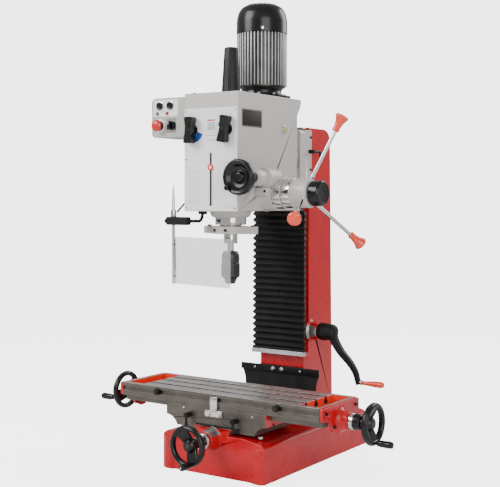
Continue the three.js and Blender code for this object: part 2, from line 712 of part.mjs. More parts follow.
piece(
  head,
  "quill",
  turned([0, 0, 0], [0, 0, 1], [
    [QUILL.bore, QUILL.bottom - 3], [QUILL.r, QUILL.bottom - 3], [QUILL.r, QUILL.top], [QUILL.bore, QUILL.top],
    [QUILL.bore, QUILL.bottom - 3],
  ], 20),
  "steel",
);
function quillClamp() {
  const ears = drawn("z", rounded(-104, 104, -18, 18, 12), 800, 825, 4);
  const body = bar([0, 0, 800], [0, 0, 825], 64, 64, 20);
  return cut(joined(ears, body), bar([0, 0, 790], [0, 0, 830], 24, 24, 16));
}
piece(head, "quill_depth_ring", quillClamp(), "grey");
piece(
  head,
  "spindle",
  turned([0, 0, 0], [0, 0, 1], [
    [0, 742], [11, 742], [11, 767], [23, 767], [23, 799], [SPINDLE.r, 799], [SPINDLE.r, 1034],
    [SPINDLE.tail, 1034], [SPINDLE.tail, 1250], [0, 1250],
  ], 16),
  "steel",
);
piece(
  head,
  "drill_chuck",
  turned([0, 0, 0], [0, 0, 1], [
    [7, 632], [15, 632], [22, 650], [31.5, 656], [31.5, 700], [29, 702], [29, 730], [24, 741], [11.3, 741.7],
    [7, 741.7], [7, 632],
  ], 18),
  "black",
);

// ---------------------------------------------------------------- quill feed

const feedCentre = [0, PINION.y, PINION.z];
piece(
  head,
  "pinion_shaft",
  turned(feedCentre, [1, 0, 0], [
    [0, -84], [PINION.r, -84], [PINION.r, -13], [PINION.gear, -13], [PINION.gear, 13], [PINION.r, 13],
    [PINION.r, 300], [0, 300],
  ], 16),
  "steel",
);

const SPOKES = [
  ["upper", 78],
  ["rear", -42],
  ["front", 198],
];
const HUB_X = 252;
function spokeEnds(degrees, near, far) {
  const angle = THREE.MathUtils.degToRad(degrees);
  const point = (radius) => [
    HUB_X + (109 * radius) / 250,
    PINION.y + radius * Math.cos(angle),
    PINION.z + radius * Math.sin(angle),
  ];
  return [point(near), point(far)];
}
function feedHub() {
  let hub = ring(feedCentre, [1, 0, 0], 49, PINION.r + GAP, 187.3, 282);
  for (const [, degrees] of SPOKES) {
    const [from, to] = spokeEnds(degrees, 28, 60);
    hub = hub.subtract(bar(from, to, 7, 7, 12));
  }
  return hub;
}
piece(head, "feed_hub", feedHub(), "grey");
piece(
  head,
  "feed_clutch_knob",
  turned(feedCentre, [1, 0, 0], [
    [PINION.r + GAP, 282.3], [34, 282.3], [42, 289], [42, 320], [37, 326], [0, 326], [0, 300.4],
    [PINION.r + GAP, 300.4], [PINION.r + GAP, 282.3],
  ], 18),
  "black",
);
for (const [name, degrees] of SPOKES) {
  const [from, to] = spokeEnds(degrees, 29, 232);
  piece(head, `feed_spoke_${name}`, bar(from, to, 6.5, 6.5, 12), "steel");
  const [start, end] = spokeEnds(degrees, 204, 258);
  const along = new THREE.Vector3(...end).sub(new THREE.Vector3(...start)).normalize();
  const knob = turned(start, along.toArray(), [
    [0, 0], [11, 0], [13, 16], [20, 42], [22.5, 52], [18, 59], [0, 60],
  ], 14);
  piece(head, `feed_knob_${name}`, cut(knob, bar(from, to, 6.9, 6.9, 12)), "orange");
}

// Fine feed: a dished wheel on a short shaft with a graduated ring.
piece(
  head,
  "fine_feed_wheel",
  joined(
    turned([FEED.x, 0, FEED.z], [0, -1, 0], [
      [0, -36], [8, -36], [8, 10.4], [27, 10.4], [27, 70], [20, 70.4], [20, 119], [50, 132], [57.5, 146],
      [57.5, 156], [52, 162], [30, 156], [0, 154],
    ], 20),
    bar([FEED.x - 34, -152, FEED.z - 34], [FEED.x - 34, -172, FEED.z - 34], 7, 9, 10),
  ),
  "black",
);
piece(
  head,
  "depth_pointer",
  joined(
    turned([1.5, plateFront - GAP, 1019], [0, -1, 0], [[0, 0], [10.5, 0], [10.5, 3], [0, 3]], 14),
    bar([1.5, plateFront - 2, 1019], [1.5, HEAD.front + 10, 1019], 3.2, 3.2, 12),
  ),
  "red",
);

// ---------------------------------------------------------------- speed levers

for (const [name, x] of [["left", -70], ["right", 68]]) {
  const lever = joined(
    bar([x, CHAMBER.front + 20, 1142], [x, plateFront - 26, 1142], 8, 8, 12),
    drawn("y", rounded(x - 17, x + 17, 1096, 1186, 12), plateFront - 34, plateFront - 4.3, 4),
  );
  piece(head, `speed_lever_${name}`, lever, "black");
}

// ---------------------------------------------------------------- control box

const CONTROLS = [
  ["start_button", -224, 1228, 12, "black"],
  ["stop_button", -180, 1228, 12, "black"],
  ["emergency_stop", -226, 1162, 11, "red"],
  ["direction_selector", -176, 1162, 11, "black"],
];
// The box is a closed shell, open only at the holes for its controls.
function controlBox() {
  const outline = rounded(BOX.x0, BOX.x1 + 0.7, BOX.bottom, BOX.top, 16);
  const hollow = rounded(BOX.x0 + 4, BOX.x1 - 4, BOX.bottom + 4, BOX.top - 4, 12);
  const holes = CONTROLS.map(([, x, z, r]) =>
    bar([x, BOX.front - 10, z], [x, BOX.front + 10, z], r + 0.4, r + 0.4, 12),
  );
  return cut(
    drawn("y", outline, BOX.front - 6, BOX.back, 5),
    drawn("y", hollow, BOX.front - 1, BOX.back - 4, 5),
    ...holes,
  );
}
piece(head, "control_box", controlBox(), "grey");
const panelFace = BOX.front - 6;
for (const [name, x, z, r, paint] of CONTROLS) {
  const at = [x, panelFace, z];
  const stem = [[0, -22], [r, -22], [r, 0]];
  const heads = {
    start_button: [[r, 10], [0, 10]],
    stop_button: [[r, 10], [0, 10]],
    emergency_stop: [[r, 14], [20, 16], [20, 24], [13, 29], [0, 30]],
    direction_selector: [[r, 4], [16, 4], [15, 20], [0, 21]],
  };
  piece(head, name, turned(at, [0, -1, 0], [...stem, ...heads[name]], 12), paint);
}

// ---------------------------------------------------------------- chip guard

function guardHolder() {
  const arm = tube(
    [[-96, -28, HEAD.bottom - 6], [-98, -30, 852], [-92, -50, 842], [-82, -86, 842], [-92, GUARD.y, 842]],
    5.5,
    10,
    16,
  );
  const foot = block(-106, -84, -40, -18, 864, HEAD.bottom - GAP);
  const housing = drawn("y", rounded(-172, -86, 829, 856, 5), GUARD.y - 12, GUARD.y + 12, 3);
  const thumbscrew = bar([-182, GUARD.y, 842], [-171, GUARD.y, 842], 8, 8, 10);
  return cut(
    joined(arm, foot, housing, thumbscrew),
    bar([GUARD.x, GUARD.y, 820], [GUARD.x, GUARD.y, 860], 5.4, 5.4, 10),
  );
}
piece(head, "guard_holder", guardHolder(), "black");
piece(
  head,
  "guard_rod",
  turned([GUARD.x, GUARD.y, 0], [0, 0, 1], [
    [0, 632], [5, 632], [5, 856.4], [9.5, 856.4], [9.5, 879], [5, 880], [5, 900], [3.4, 940], [0, 966],
  ], 10),
  "steel",
);
const panel = piece(head, "guard_panel", block(5.6, GUARD.width, -2, 2, 634, 790), "clear");
panel.position.set(GUARD.x, GUARD.y, 0);
panel.rotation.z = -GUARD.swing;
piece(
  head,
  "guard_cable",
  tube([
    [GUARD.x + 13, GUARD.y + 4, 872], [GUARD.x + 22, GUARD.y + 20, 892], [-118, GUARD.y + 60, 926],
    [-112, GUARD.y + 100, 960], [-112, GUARD.y + 130, 1020], [-113, GUARD.y + 140, 1100],
    [-116, GUARD.y + 142, BOX.bottom - GAP],
  ], 3.2, 8, 30),
  "black",
);

export default machine;
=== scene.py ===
"""Looks of a geared-head mill-drill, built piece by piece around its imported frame, in metres."""
import json
import math

import bmesh
import bpy
from bpy.props import FloatProperty, FloatVectorProperty, IntProperty, PointerProperty
from mathutils import Matrix, Vector

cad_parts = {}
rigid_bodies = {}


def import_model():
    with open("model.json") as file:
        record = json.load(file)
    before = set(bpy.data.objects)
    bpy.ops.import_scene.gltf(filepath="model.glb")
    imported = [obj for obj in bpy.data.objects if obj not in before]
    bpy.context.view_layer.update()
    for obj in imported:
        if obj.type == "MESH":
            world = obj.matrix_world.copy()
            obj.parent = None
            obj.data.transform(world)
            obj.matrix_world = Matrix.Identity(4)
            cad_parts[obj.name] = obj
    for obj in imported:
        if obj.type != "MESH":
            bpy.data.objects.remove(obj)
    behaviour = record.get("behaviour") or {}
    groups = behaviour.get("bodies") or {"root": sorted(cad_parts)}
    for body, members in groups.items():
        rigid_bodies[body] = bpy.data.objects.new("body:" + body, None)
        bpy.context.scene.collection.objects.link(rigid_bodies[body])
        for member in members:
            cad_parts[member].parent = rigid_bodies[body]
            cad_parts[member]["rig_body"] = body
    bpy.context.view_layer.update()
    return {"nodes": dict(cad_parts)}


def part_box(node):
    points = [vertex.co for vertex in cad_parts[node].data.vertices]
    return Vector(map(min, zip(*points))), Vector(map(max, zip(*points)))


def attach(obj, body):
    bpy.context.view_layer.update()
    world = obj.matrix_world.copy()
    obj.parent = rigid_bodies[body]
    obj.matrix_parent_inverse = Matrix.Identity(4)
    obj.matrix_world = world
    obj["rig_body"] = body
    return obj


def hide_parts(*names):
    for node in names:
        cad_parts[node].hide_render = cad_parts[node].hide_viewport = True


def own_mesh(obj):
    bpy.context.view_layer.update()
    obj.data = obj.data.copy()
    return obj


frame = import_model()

bl_info = {"name": "Mill-drill looks", "version": (1, 0, 0), "blender": (4, 5, 0),
    "location": "3D View > Sidebar > Mill-drill",
    "description": "Builds the surfaces, trim and studio of a geared-head mill-drill around its frame",
    "category": "Object"}

MM = 0.001


class Place:
    """Where a frame node lies: its lowest and highest corner and its middle."""

    def __init__(self, node):
        self.lo, self.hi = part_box(node)
        self.mid = (self.lo + self.hi) / 2
        self.size = self.hi - self.lo


AT = {node: Place(node) for node in frame["nodes"]}
SPINDLE = AT["spindle"].mid
HEAD = AT["head_casting"]
PLATE = AT["head_front_plate"]
PINION = AT["pinion_shaft"].mid


# ---------------------------------------------------------------- outlines and solids

def soften(points, radius, closed=False, steps=4):
    """Rounds the corners of an outline. A corner takes less than half of each side next to it."""
    soft = []
    for i, point in enumerate(points):
        corner = Vector(point)
        before = Vector(points[i - 1]) - corner
        after = Vector(points[(i + 1) % len(points)]) - corner
        at_end = not closed and i in (0, len(points) - 1)
        if at_end or min(before.length, after.length) < 1e-7 or before.angle(after) > math.radians(168):
            soft.append(tuple(point))
            continue
        reach = min(radius, before.length * 0.45, after.length * 0.45)
        start = corner + before.normalized() * reach
        end = corner + after.normalized() * reach
        for k in range(steps + 1):
            t = k / steps
            soft.append(tuple(start * (1 - t) ** 2 + corner * 2 * t * (1 - t) + end * t ** 2))
    return soft


def facing(direction):
    """The turn that takes +Z to a direction."""
    return Vector(direction).to_track_quat("Z", "Y").to_matrix().to_4x4()


def bridge(bm, below, above, index):
    """Faces between two rings of corners. A ring of one corner is a pole."""
    count = max(len(below), len(above))
    if count == 1:
        return
    for i in range(count):
        j = (i + 1) % count
        corners = [below[i % len(below)]]
        if len(below) > 1:
            corners.append(below[j])
        if len(above) > 1:
            corners.append(above[j])
        corners.append(above[i % len(above)])
        bm.faces.new(corners).material_index = index


def lathe(bm, origin, direction, profile, soft=0.8 * MM, sides=72, closed=False, index=0):
    """Turns a profile of (distance, radius) points about an axis through the origin given."""
    placed = Matrix.Translation(origin) @ facing(direction)
    rings = []
    for distance, radius in soften(profile, soft, closed):
        if radius < 1e-6:
            rings.append([bm.verts.new(placed @ Vector((0, 0, distance)))])
            continue
        angles = [2 * math.pi * i / sides for i in range(sides)]
        rings.append([bm.verts.new(placed @ Vector((radius * math.cos(a), radius * math.sin(a),
            distance))) for a in angles])
    if closed:
        rings.append(rings[0])
    for below, above in zip(rings, rings[1:]):
        bridge(bm, below, above, index)


def rod(bm, start, end, radius, soft=0.6 * MM, sides=48, index=0):
    """A round bar between two points."""
    along = Vector(end) - Vector(start)
    profile = [(0, 0), (0, radius), (along.length, radius), (along.length, 0)]
    lathe(bm, start, along, profile, soft, sides, index=index)


PLANES = {"x": (1, 2, 0), "y": (0, 2, 1), "z": (0, 1, 2)}


def prism(bm, axis, outline, start, end, soft=0.0, index=0):
    """Draws an outline out along an axis: (y, z) along x, (x, z) along y, or (x, y) along z."""
    u, v, w = PLANES[axis]
    if soft:
        outline = soften(outline, soft, closed=True)
    caps = []
    for at in (start, end):
        ring = []
        for point in outline:
            corner = [0, 0, 0]
            corner[u], corner[v], corner[w] = point[0], point[1], at
            ring.append(bm.verts.new(corner))
        bm.faces.new(ring).material_index = index
        caps.append(ring)
    bridge(bm, caps[0], caps[1], index)


def take_in(bm, part, index, matrix=None):
    """Adds a finished part to a mesh that is being built, and frees the part."""
    for face in part.faces:
        face.material_index = index
    if matrix is not None:
        part.transform(matrix)
    carrier = bpy.data.meshes.new("part")
    part.to_mesh(carrier)
    part.free()
    bm.from_mesh(carrier)
    bpy.data.meshes.remove(carrier)


def block(bm, lo, hi, soft=1 * MM, index=0, matrix=None):
    """A box between two corners, with every edge rounded."""
    lo, hi = Vector(lo), Vector(hi)
    part = bmesh.new()
    scale = Matrix.Diagonal((*(hi - lo), 1))
    bmesh.ops.create_cube(part, size=1, matrix=Matrix.Translation((lo + hi) / 2) @ scale)
    if soft:
        bmesh.ops.bevel(part, geom=part.edges[:], offset=soft, segments=3, profile=0.5, affect="EDGES")
    take_in(bm, part, index, matrix)


def rounded_rect(u0, u1, v0, v1, radius, steps=8):
    """The outline of a rectangle with round corners."""
    outline = []
    for u, v, start in ((u1, v0, -90), (u1, v1, 0), (u0, v1, 90), (u0, v0, 180)):
        centre_u = u - radius if u == u1 else u + radius
        centre_v = v - radius if v == v1 else v + radius
        for k in range(steps + 1):
            angle = math.radians(start + 90 * k / steps)
            outline.append((centre_u + radius * math.cos(angle), centre_v + radius * math.sin(angle)))
    return outline


def smooth_path(points, count):
    """Evenly numbered points on a smooth curve through the points given."""
    points = [Vector(point) for point in points]
    ends = [points[0] * 2 - points[1], *points, points[-1] * 2 - points[-2]]
    path = []
    for k in range(count + 1):
        place = min(k / count * (len(points) - 1), len(points) - 1 - 1e-6)
        i = int(place)
        t = place - i
        a, b, c, d = ends[i:i + 4]
        path.append(0.5 * (2 * b + (c - a) * t + (2 * a - 5 * b + 4 * c - d) * t ** 2
            + (3 * b - a - 3 * c + d) * t ** 3))
    return path


def sweep(bm, path, section, up=(0, 0, 1), index=0):
    """Draws a section along a path. `section(share)` gives its outline at a share of the length."""
    side = None
    rings = []
    for k, point in enumerate(path):
        along = (path[min(k + 1, len(path) - 1)] - path[max(k - 1, 0)]).normalized()
        if side is None:
            side = Vector(up).cross(along)
        side = (side - along * side.dot(along)).normalized()
        rise = along.cross(side)
        outline = section(k / (len(path) - 1))
        rings.append([bm.verts.new(point + side * u + rise * v) for u, v in outline])
    for below, above in zip(rings, rings[1:]):
        bridge(bm, below, above, index)
    for ring in (rings[0], rings[-1]):
        bm.faces.new(ring).material_index = index


def circle(radius, sides=16):
    """A round section, the same all along."""
    outline = [(radius * math.cos(2 * math.pi * i / sides),
        radius * math.sin(2 * math.pi * i / sides)) for i in range(sides)]
    return lambda share: outline


def made(name, bm, *materials, crease=32):
    """A finished object at the origin from a mesh that was being built."""
    bmesh.ops.recalc_face_normals(bm, faces=bm.faces[:])
    mesh = bpy.data.meshes.new(name)
    bm.to_mesh(mesh)
    bm.free()
    for material in materials:
        mesh.materials.append(material)
    mesh.shade_smooth()
    mesh.set_sharp_from_angle(angle=math.radians(crease))
    obj = bpy.data.objects.new(name, mesh)
    bpy.context.scene.collection.objects.link(obj)
    return obj


def settled(obj):
    """Turns an object's modifiers into its plain mesh."""
    bpy.context.view_layer.update()
    evaluated = obj.evaluated_get(bpy.context.evaluated_depsgraph_get())
    mesh = bpy.data.meshes.new_from_object(evaluated)
    mesh.name = obj.name
    obj.modifiers.clear()
    obj.data = mesh
    return obj


def booleans(obj, steps):
    """Joins or cuts solids in order: each step is an operation and a function that draws its solid."""
    for operation, draw in steps:
        bm = bmesh.new()
        draw(bm)
        tool = made("tool", bm)
        modifier = obj.modifiers.new("join_or_cut", "BOOLEAN")
        modifier.operation = operation
        modifier.solver = "EXACT"
        modifier.object = tool
        settled(obj)
        bpy.data.objects.remove(tool)
    return obj


def round_edges(obj, width, segments=3, angle=35):
    """Rounds a casting's edges, and keeps its flat faces flat in the light."""
    bm = bmesh.new()
    bm.from_mesh(obj.data)
    bmesh.ops.remove_doubles(bm, verts=bm.verts[:], dist=0.02 * MM)
    bmesh.ops.triangulate(bm, faces=[face for face in bm.faces if len(face.verts) > 4])
    bm.to_mesh(obj.data)
    bm.free()
    bevel = obj.modifiers.new("edges", "BEVEL")
    bevel.width = width
    bevel.segments = segments
    bevel.limit_method = "ANGLE"
    bevel.angle_limit = math.radians(angle)
    bevel.use_clamp_overlap = False
    bevel.miter_outer = "MITER_ARC"
    settled(obj)
    obj.data.shade_smooth()
    obj.data.set_sharp_from_angle(angle=math.radians(40))
    flats = obj.modifiers.new("flats", "WEIGHTED_NORMAL")
    flats.weight = 100
    flats.keep_sharp = True
    return settled(obj)


def copy_of(name, node, *materials):
    """A merged copy of a frame node, for a piece that only needs finer edges and several finishes."""
    bm = bmesh.new()
    bm.from_mesh(frame["nodes"][node].data)
    bmesh.ops.remove_doubles(bm, verts=bm.verts[:], dist=0.02 * MM)
    for face in bm.faces:
        face.material_index = 0
    return made(name, bm, *materials)


def paint_faces(obj, choose):
    """Gives each face the material that `choose(centre, normal)` says, by its place in the list."""
    for face in obj.data.polygons:
        face.material_index = choose(face.center, face.normal)


def show(obj, slot, *nodes):
    """A piece that stands for frame nodes rides on their body."""
    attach(obj, frame["nodes"][nodes[0]]["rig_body"])
    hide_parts(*nodes)
    return obj


def trim(obj, node):
    """A piece that the frame leaves out rides on the body of the node that it is fixed to."""
    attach(obj, frame["nodes"][node]["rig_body"])
    return obj


# ---------------------------------------------------------------- node trees that repeat a piece

def tree(name, inputs):
    """An empty Geometry Nodes tree with named inputs, and its input and output nodes."""
    made_tree = bpy.data.node_groups.new(name, "GeometryNodeTree")
    made_tree.interface.new_socket("Geometry", in_out="INPUT", socket_type="NodeSocketGeometry")
    for label, kind in inputs:
        made_tree.interface.new_socket(label, in_out="INPUT", socket_type=f"NodeSocket{kind}")
    made_tree.interface.new_socket("Geometry", in_out="OUTPUT", socket_type="NodeSocketGeometry")
    return made_tree, made_tree.nodes.new("NodeGroupInput"), made_tree.nodes.new("NodeGroupOutput")


def end_tree(made_tree, entry, leave, geometry):
    """Every tree ends in real geometry with its material."""
    realize = made_tree.nodes.new("GeometryNodeRealizeInstances")
    dress = made_tree.nodes.new("GeometryNodeSetMaterial")
    made_tree.links.new(geometry, realize.inputs[0])
    made_tree.links.new(realize.outputs[0], dress.inputs["Geometry"])
    made_tree.links.new(entry.outputs["Material"], dress.inputs["Material"])
    made_tree.links.new(dress.outputs[0], leave.inputs[0])
    return made_tree


def spots_tree():
    """Copies of a piece on the corners of the object's own mesh, all facing one way."""
    inputs = [("Piece", "Object"), ("Turn", "Vector"), ("Material", "Material")]
    made_tree, entry, leave = tree("Copies on spots", inputs)
    info = made_tree.nodes.new("GeometryNodeObjectInfo")
    instance = made_tree.nodes.new("GeometryNodeInstanceOnPoints")
    euler = made_tree.nodes.new("FunctionNodeEulerToRotation")
    links = made_tree.links
    links.new(entry.outputs["Piece"], info.inputs[0])
    links.new(entry.outputs["Turn"], euler.inputs[0])
    links.new(entry.outputs["Geometry"], instance.inputs["Points"])
    links.new(info.outputs["Geometry"], instance.inputs["Instance"])
    links.new(euler.outputs[0], instance.inputs["Rotation"])
    return end_tree(made_tree, entry, leave, instance.outputs[0])


def row_tree():
    """Copies of a piece in a straight row."""
    inputs = [("Piece", "Object"), ("Count", "Int"), ("Start", "Vector"), ("Step", "Vector"),
        ("Material", "Material")]
    made_tree, entry, leave = tree("Copies in a row", inputs)
    line = made_tree.nodes.new("GeometryNodeMeshLine")
    line.mode = "OFFSET"
    info = made_tree.nodes.new("GeometryNodeObjectInfo")
    instance = made_tree.nodes.new("GeometryNodeInstanceOnPoints")
    links = made_tree.links
    links.new(entry.outputs["Count"], line.inputs["Count"])
    links.new(entry.outputs["Start"], line.inputs["Start Location"])
    links.new(entry.outputs["Step"], line.inputs["Offset"])
    links.new(entry.outputs["Piece"], info.inputs[0])
    links.new(line.outputs[0], instance.inputs["Points"])
    links.new(info.outputs["Geometry"], instance.inputs["Instance"])
    return end_tree(made_tree, entry, leave, instance.outputs[0])


def round_tree():
    """Copies of a piece about its +Z, which is then turned and put in place."""
    inputs = [("Piece", "Object"), ("Count", "Int"), ("Step angle", "Float"), ("First angle", "Float"),
        ("Turn", "Vector"), ("Centre", "Vector"), ("Material", "Material")]
    made_tree, entry, leave = tree("Copies round an axis", inputs)
    nodes, links = made_tree.nodes, made_tree.links
    line = nodes.new("GeometryNodeMeshLine")
    info = nodes.new("GeometryNodeObjectInfo")
    instance = nodes.new("GeometryNodeInstanceOnPoints")
    number = nodes.new("GeometryNodeInputIndex")
    angle = nodes.new("ShaderNodeMath")
    angle.operation = "MULTIPLY_ADD"
    spin = nodes.new("ShaderNodeCombineXYZ")
    euler = nodes.new("FunctionNodeEulerToRotation")
    move = nodes.new("GeometryNodeTransform")
    line.inputs["Offset"].default_value = (0, 0, 0)
    links.new(entry.outputs["Count"], line.inputs["Count"])
    links.new(entry.outputs["Piece"], info.inputs[0])
    links.new(number.outputs[0], angle.inputs[0])
    links.new(entry.outputs["Step angle"], angle.inputs[1])
    links.new(entry.outputs["First angle"], angle.inputs[2])
    links.new(angle.outputs[0], spin.inputs["Z"])
    links.new(spin.outputs[0], euler.inputs[0])
    links.new(line.outputs[0], instance.inputs["Points"])
    links.new(info.outputs["Geometry"], instance.inputs["Instance"])
    links.new(euler.outputs[0], instance.inputs["Rotation"])
    links.new(instance.outputs[0], move.inputs["Geometry"])
    turn = nodes.new("FunctionNodeEulerToRotation")
    links.new(entry.outputs["Turn"], turn.inputs[0])
    links.new(turn.outputs[0], move.inputs["Rotation"])
    links.new(entry.outputs["Centre"], move.inputs["Translation"])
    return end_tree(made_tree, entry, leave, move.outputs[0])


TREES = {}


def repeated(name, kind, unit, material, spots=(), **values):
    """Repeats a unit through one of the trees, and returns the result as a plain mesh."""
    makers = {"spots": spots_tree, "row": row_tree, "round": round_tree}
    if kind not in TREES:
        TREES[kind] = makers[kind]()
    unit_object = made(f"{name}_unit", unit, material)
    mesh = bpy.data.meshes.new(name)
    mesh.from_pydata([tuple(spot) for spot in spots] or [(0, 0, 0)], [], [])
    obj = bpy.data.objects.new(name, mesh)
    bpy.context.scene.collection.objects.link(obj)
    modifier = obj.modifiers.new("copies", "NODES")
    modifier.node_group = TREES[kind]
    given = {"Piece": unit_object, "Material": material, **values}
    for item in TREES[kind].interface.items_tree:
        if item.in_out == "INPUT" and item.name in given:
            modifier[item.identifier] = given[item.name]
    settled(obj)
    bpy.data.objects.remove(unit_object)
    obj.data.shade_smooth()
    obj.data.set_sharp_from_angle(angle=math.radians(32))
    return obj


def screw(radius, height, socket=True):
    """A cap screw along +Z, with its head's underside at 0 and a hex socket in the top."""
    bm = bmesh.new()
    depth = height * 0.55
    profile = [(0, 0), (0, radius), (height, radius), (height, radius * 0.55)]
    inner = [(height - depth, radius * 0.5), (height - depth, 0)] if socket else [(height, 0)]
    lathe(bm, (0, 0, 0), (0, 0, 1), [*profile, *inner], soft=radius * 0.12, sides=24)
    return bm


def hex_bolt(radius, height):
    """A hexagon head on a washer, along +Z."""
    bm = bmesh.new()
    washer = height * 0.25
    lathe(bm, (0, 0, 0), (0, 0, 1), [(0, 0), (0, radius * 1.25), (washer, radius * 1.25), (washer, 0)],
        sides=24)
    corners = [(radius * math.cos(math.pi * k / 3), radius * math.sin(math.pi * k / 3)) for k in range(6)]
    prism(bm, "z", corners, washer, height, soft=radius * 0.08)
    return bm


# ---------------------------------------------------------------- shared shader groups

def shader_group(name, inputs, outputs):
    """An empty shader group with named sockets, each a (name, kind, default)."""
    group = bpy.data.node_groups.new(name, "ShaderNodeTree")
    for label, kind, value in inputs:
        socket = group.interface.new_socket(label, in_out="INPUT", socket_type=f"NodeSocket{kind}")
        socket.default_value = value
    for label, kind in outputs:
        group.interface.new_socket(label, in_out="OUTPUT", socket_type=f"NodeSocket{kind}")
    return group, group.nodes.new("NodeGroupInput"), group.nodes.new("NodeGroupOutput")


def place_noise(group, entry, detail, stretch=None):
    """Noise on object coordinates, sized by the group's Size input."""
    nodes, links = group.nodes, group.links
    where = nodes.new("ShaderNodeTexCoord")
    source = where.outputs["Object"]
    if stretch is not None:
        scaled = nodes.new("ShaderNodeVectorMath")
        scaled.operation = "MULTIPLY"
        links.new(source, scaled.inputs[0])
        links.new(entry.outputs[stretch], scaled.inputs[1])
        source = scaled.outputs[0]
    noise = nodes.new("ShaderNodeTexNoise")
    noise.inputs["Detail"].default_value = detail
    links.new(source, noise.inputs["Vector"])
    links.new(entry.outputs["Size"], noise.inputs["Scale"])
    return noise.outputs["Fac"]


def mottle_group():
    """Two tones in soft patches, and the mask of the patches."""
    inputs = [("Tone", "Color", (1, 1, 1, 1)), ("Other tone", "Color", (0, 0, 0, 1)),
        ("Size", "Float", 20.0), ("Low", "Float", 0.4), ("High", "Float", 0.7)]
    group, entry, leave = shader_group("Mottle", inputs, [("Color", "Color"), ("Mask", "Float")])
    nodes, links = group.nodes, group.links
    spread = nodes.new("ShaderNodeMapRange")
    blend = nodes.new("ShaderNodeMix")
    blend.data_type = "RGBA"
    links.new(place_noise(group, entry, 5), spread.inputs["Value"])
    links.new(entry.outputs["Low"], spread.inputs["From Min"])
    links.new(entry.outputs["High"], spread.inputs["From Max"])
    links.new(spread.outputs[0], blend.inputs["Factor"])
    links.new(entry.outputs["Tone"], blend.inputs["A"])
    links.new(entry.outputs["Other tone"], blend.inputs["B"])
    links.new(blend.outputs["Result"], leave.inputs["Color"])
    links.new(spread.outputs[0], leave.inputs["Mask"])
    return group


def grain_group():
    """The fine relief of a casting, a paint film or a moulding."""
    inputs = [("Size", "Float", 400.0), ("Depth", "Float", 0.1)]
    group, entry, leave = shader_group("Grain", inputs, [("Normal", "Vector"), ("Value", "Float")])
    nodes, links = group.nodes, group.links
    bump = nodes.new("ShaderNodeBump")
    bump.inputs["Distance"].default_value = 0.3 * MM
    fac = place_noise(group, entry, 3)
    links.new(fac, bump.inputs["Height"])
    links.new(entry.outputs["Depth"], bump.inputs["Strength"])
    links.new(bump.outputs[0], leave.inputs["Normal"])
    links.new(fac, leave.inputs["Value"])
    return group


def streak_group():
    """Tool marks, drawn out along the directions where Stretch is small."""
    inputs = [("Size", "Float", 60.0), ("Stretch", "Vector", (1, 1, 1)), ("Depth", "Float", 0.1),
        ("Rough low", "Float", 0.2), ("Rough high", "Float", 0.4)]
    outputs = [("Normal", "Vector"), ("Roughness", "Float"), ("Mask", "Float")]
    group, entry, leave = shader_group("Tool marks", inputs, outputs)
    nodes, links = group.nodes, group.links
    fac = place_noise(group, entry, 6, "Stretch")
    bump = nodes.new("ShaderNodeBump")
    bump.inputs["Distance"].default_value = 0.2 * MM
    spread = nodes.new("ShaderNodeMapRange")
    spread.inputs["From Min"].default_value = 0.3
    spread.inputs["From Max"].default_value = 0.7
    links.new(fac, bump.inputs["Height"])
    links.new(entry.outputs["Depth"], bump.inputs["Strength"])
    links.new(fac, spread.inputs["Value"])
    links.new(entry.outputs["Rough low"], spread.inputs["To Min"])
    links.new(entry.outputs["Rough high"], spread.inputs["To Max"])
    links.new(bump.outputs[0], leave.inputs["Normal"])
    links.new(spread.outputs[0], leave.inputs["Roughness"])
    links.new(fac, leave.inputs["Mask"])
    return group


GROUPS = {"mottle": mottle_group(), "grain": grain_group(), "streak": streak_group()}


# ---------------------------------------------------------------- finishes

def dressed(material, kind, **values):
    """Places one of the shared groups in a material with its own values."""
    node = material.node_tree.nodes.new("ShaderNodeGroup")
    node.node_tree = GROUPS[kind]
    for name, value in values.items():
        node.inputs[name.replace("_", " ")].default_value = value
    return node


def finish(name, **constants):
    """A material whose Principled shader holds the constants given."""
    material = bpy.data.materials.new(name)
    material.use_nodes = True
    shader = material.node_tree.nodes["Principled BSDF"]
    for socket, value in constants.items():
        shader.inputs[socket.replace("_", " ")].default_value = value
    return material, shader


def rgba(colour):
    return (*colour[:3], 1.0)


def painted(name, colour, shade, roughness, grain=(260, 0.25), patches=(14, 0.42, 0.75), **constants):
    """Enamel or moulded plastic: two close tones, uneven gloss and a fine skin."""
    material, shader = finish(name, **constants)
    links = material.node_tree.links
    tones = dressed(material, "mottle", Tone=rgba(colour), Other_tone=rgba(shade), Size=patches[0],
        Low=patches[1], High=patches[2])
    skin = dressed(material, "grain", Size=grain[0], Depth=grain[1])
    gloss = material.node_tree.nodes.new("ShaderNodeMapRange")
    gloss.inputs["To Min"].default_value = roughness
    gloss.inputs["To Max"].default_value = roughness + 0.12
    links.new(tones.outputs["Color"], shader.inputs["Base Color"])
    links.new(tones.outputs["Mask"], gloss.inputs["Value"])
    links.new(gloss.outputs[0], shader.inputs["Roughness"])
    links.new(skin.outputs["Normal"], shader.inputs["Normal"])
    return material


def machined(name, colour, shade, roughness, stretch, depth=0.12, size=60, metallic=1.0,
        patches=(18, 0.35, 0.75)):
    """Bare metal with tool marks and a thin uneven film of oil."""
    material, shader = finish(name, Metallic=metallic)
    links = material.node_tree.links
    tones = dressed(material, "mottle", Tone=rgba(colour), Other_tone=rgba(shade), Size=patches[0],
        Low=patches[1], High=patches[2])
    marks = dressed(material, "streak", Size=size, Stretch=stretch, Depth=depth, Rough_low=roughness[0],
        Rough_high=roughness[1])
    links.new(tones.outputs["Color"], shader.inputs["Base Color"])
    links.new(marks.outputs["Roughness"], shader.inputs["Roughness"])
    links.new(marks.outputs["Normal"], shader.inputs["Normal"])
    return material


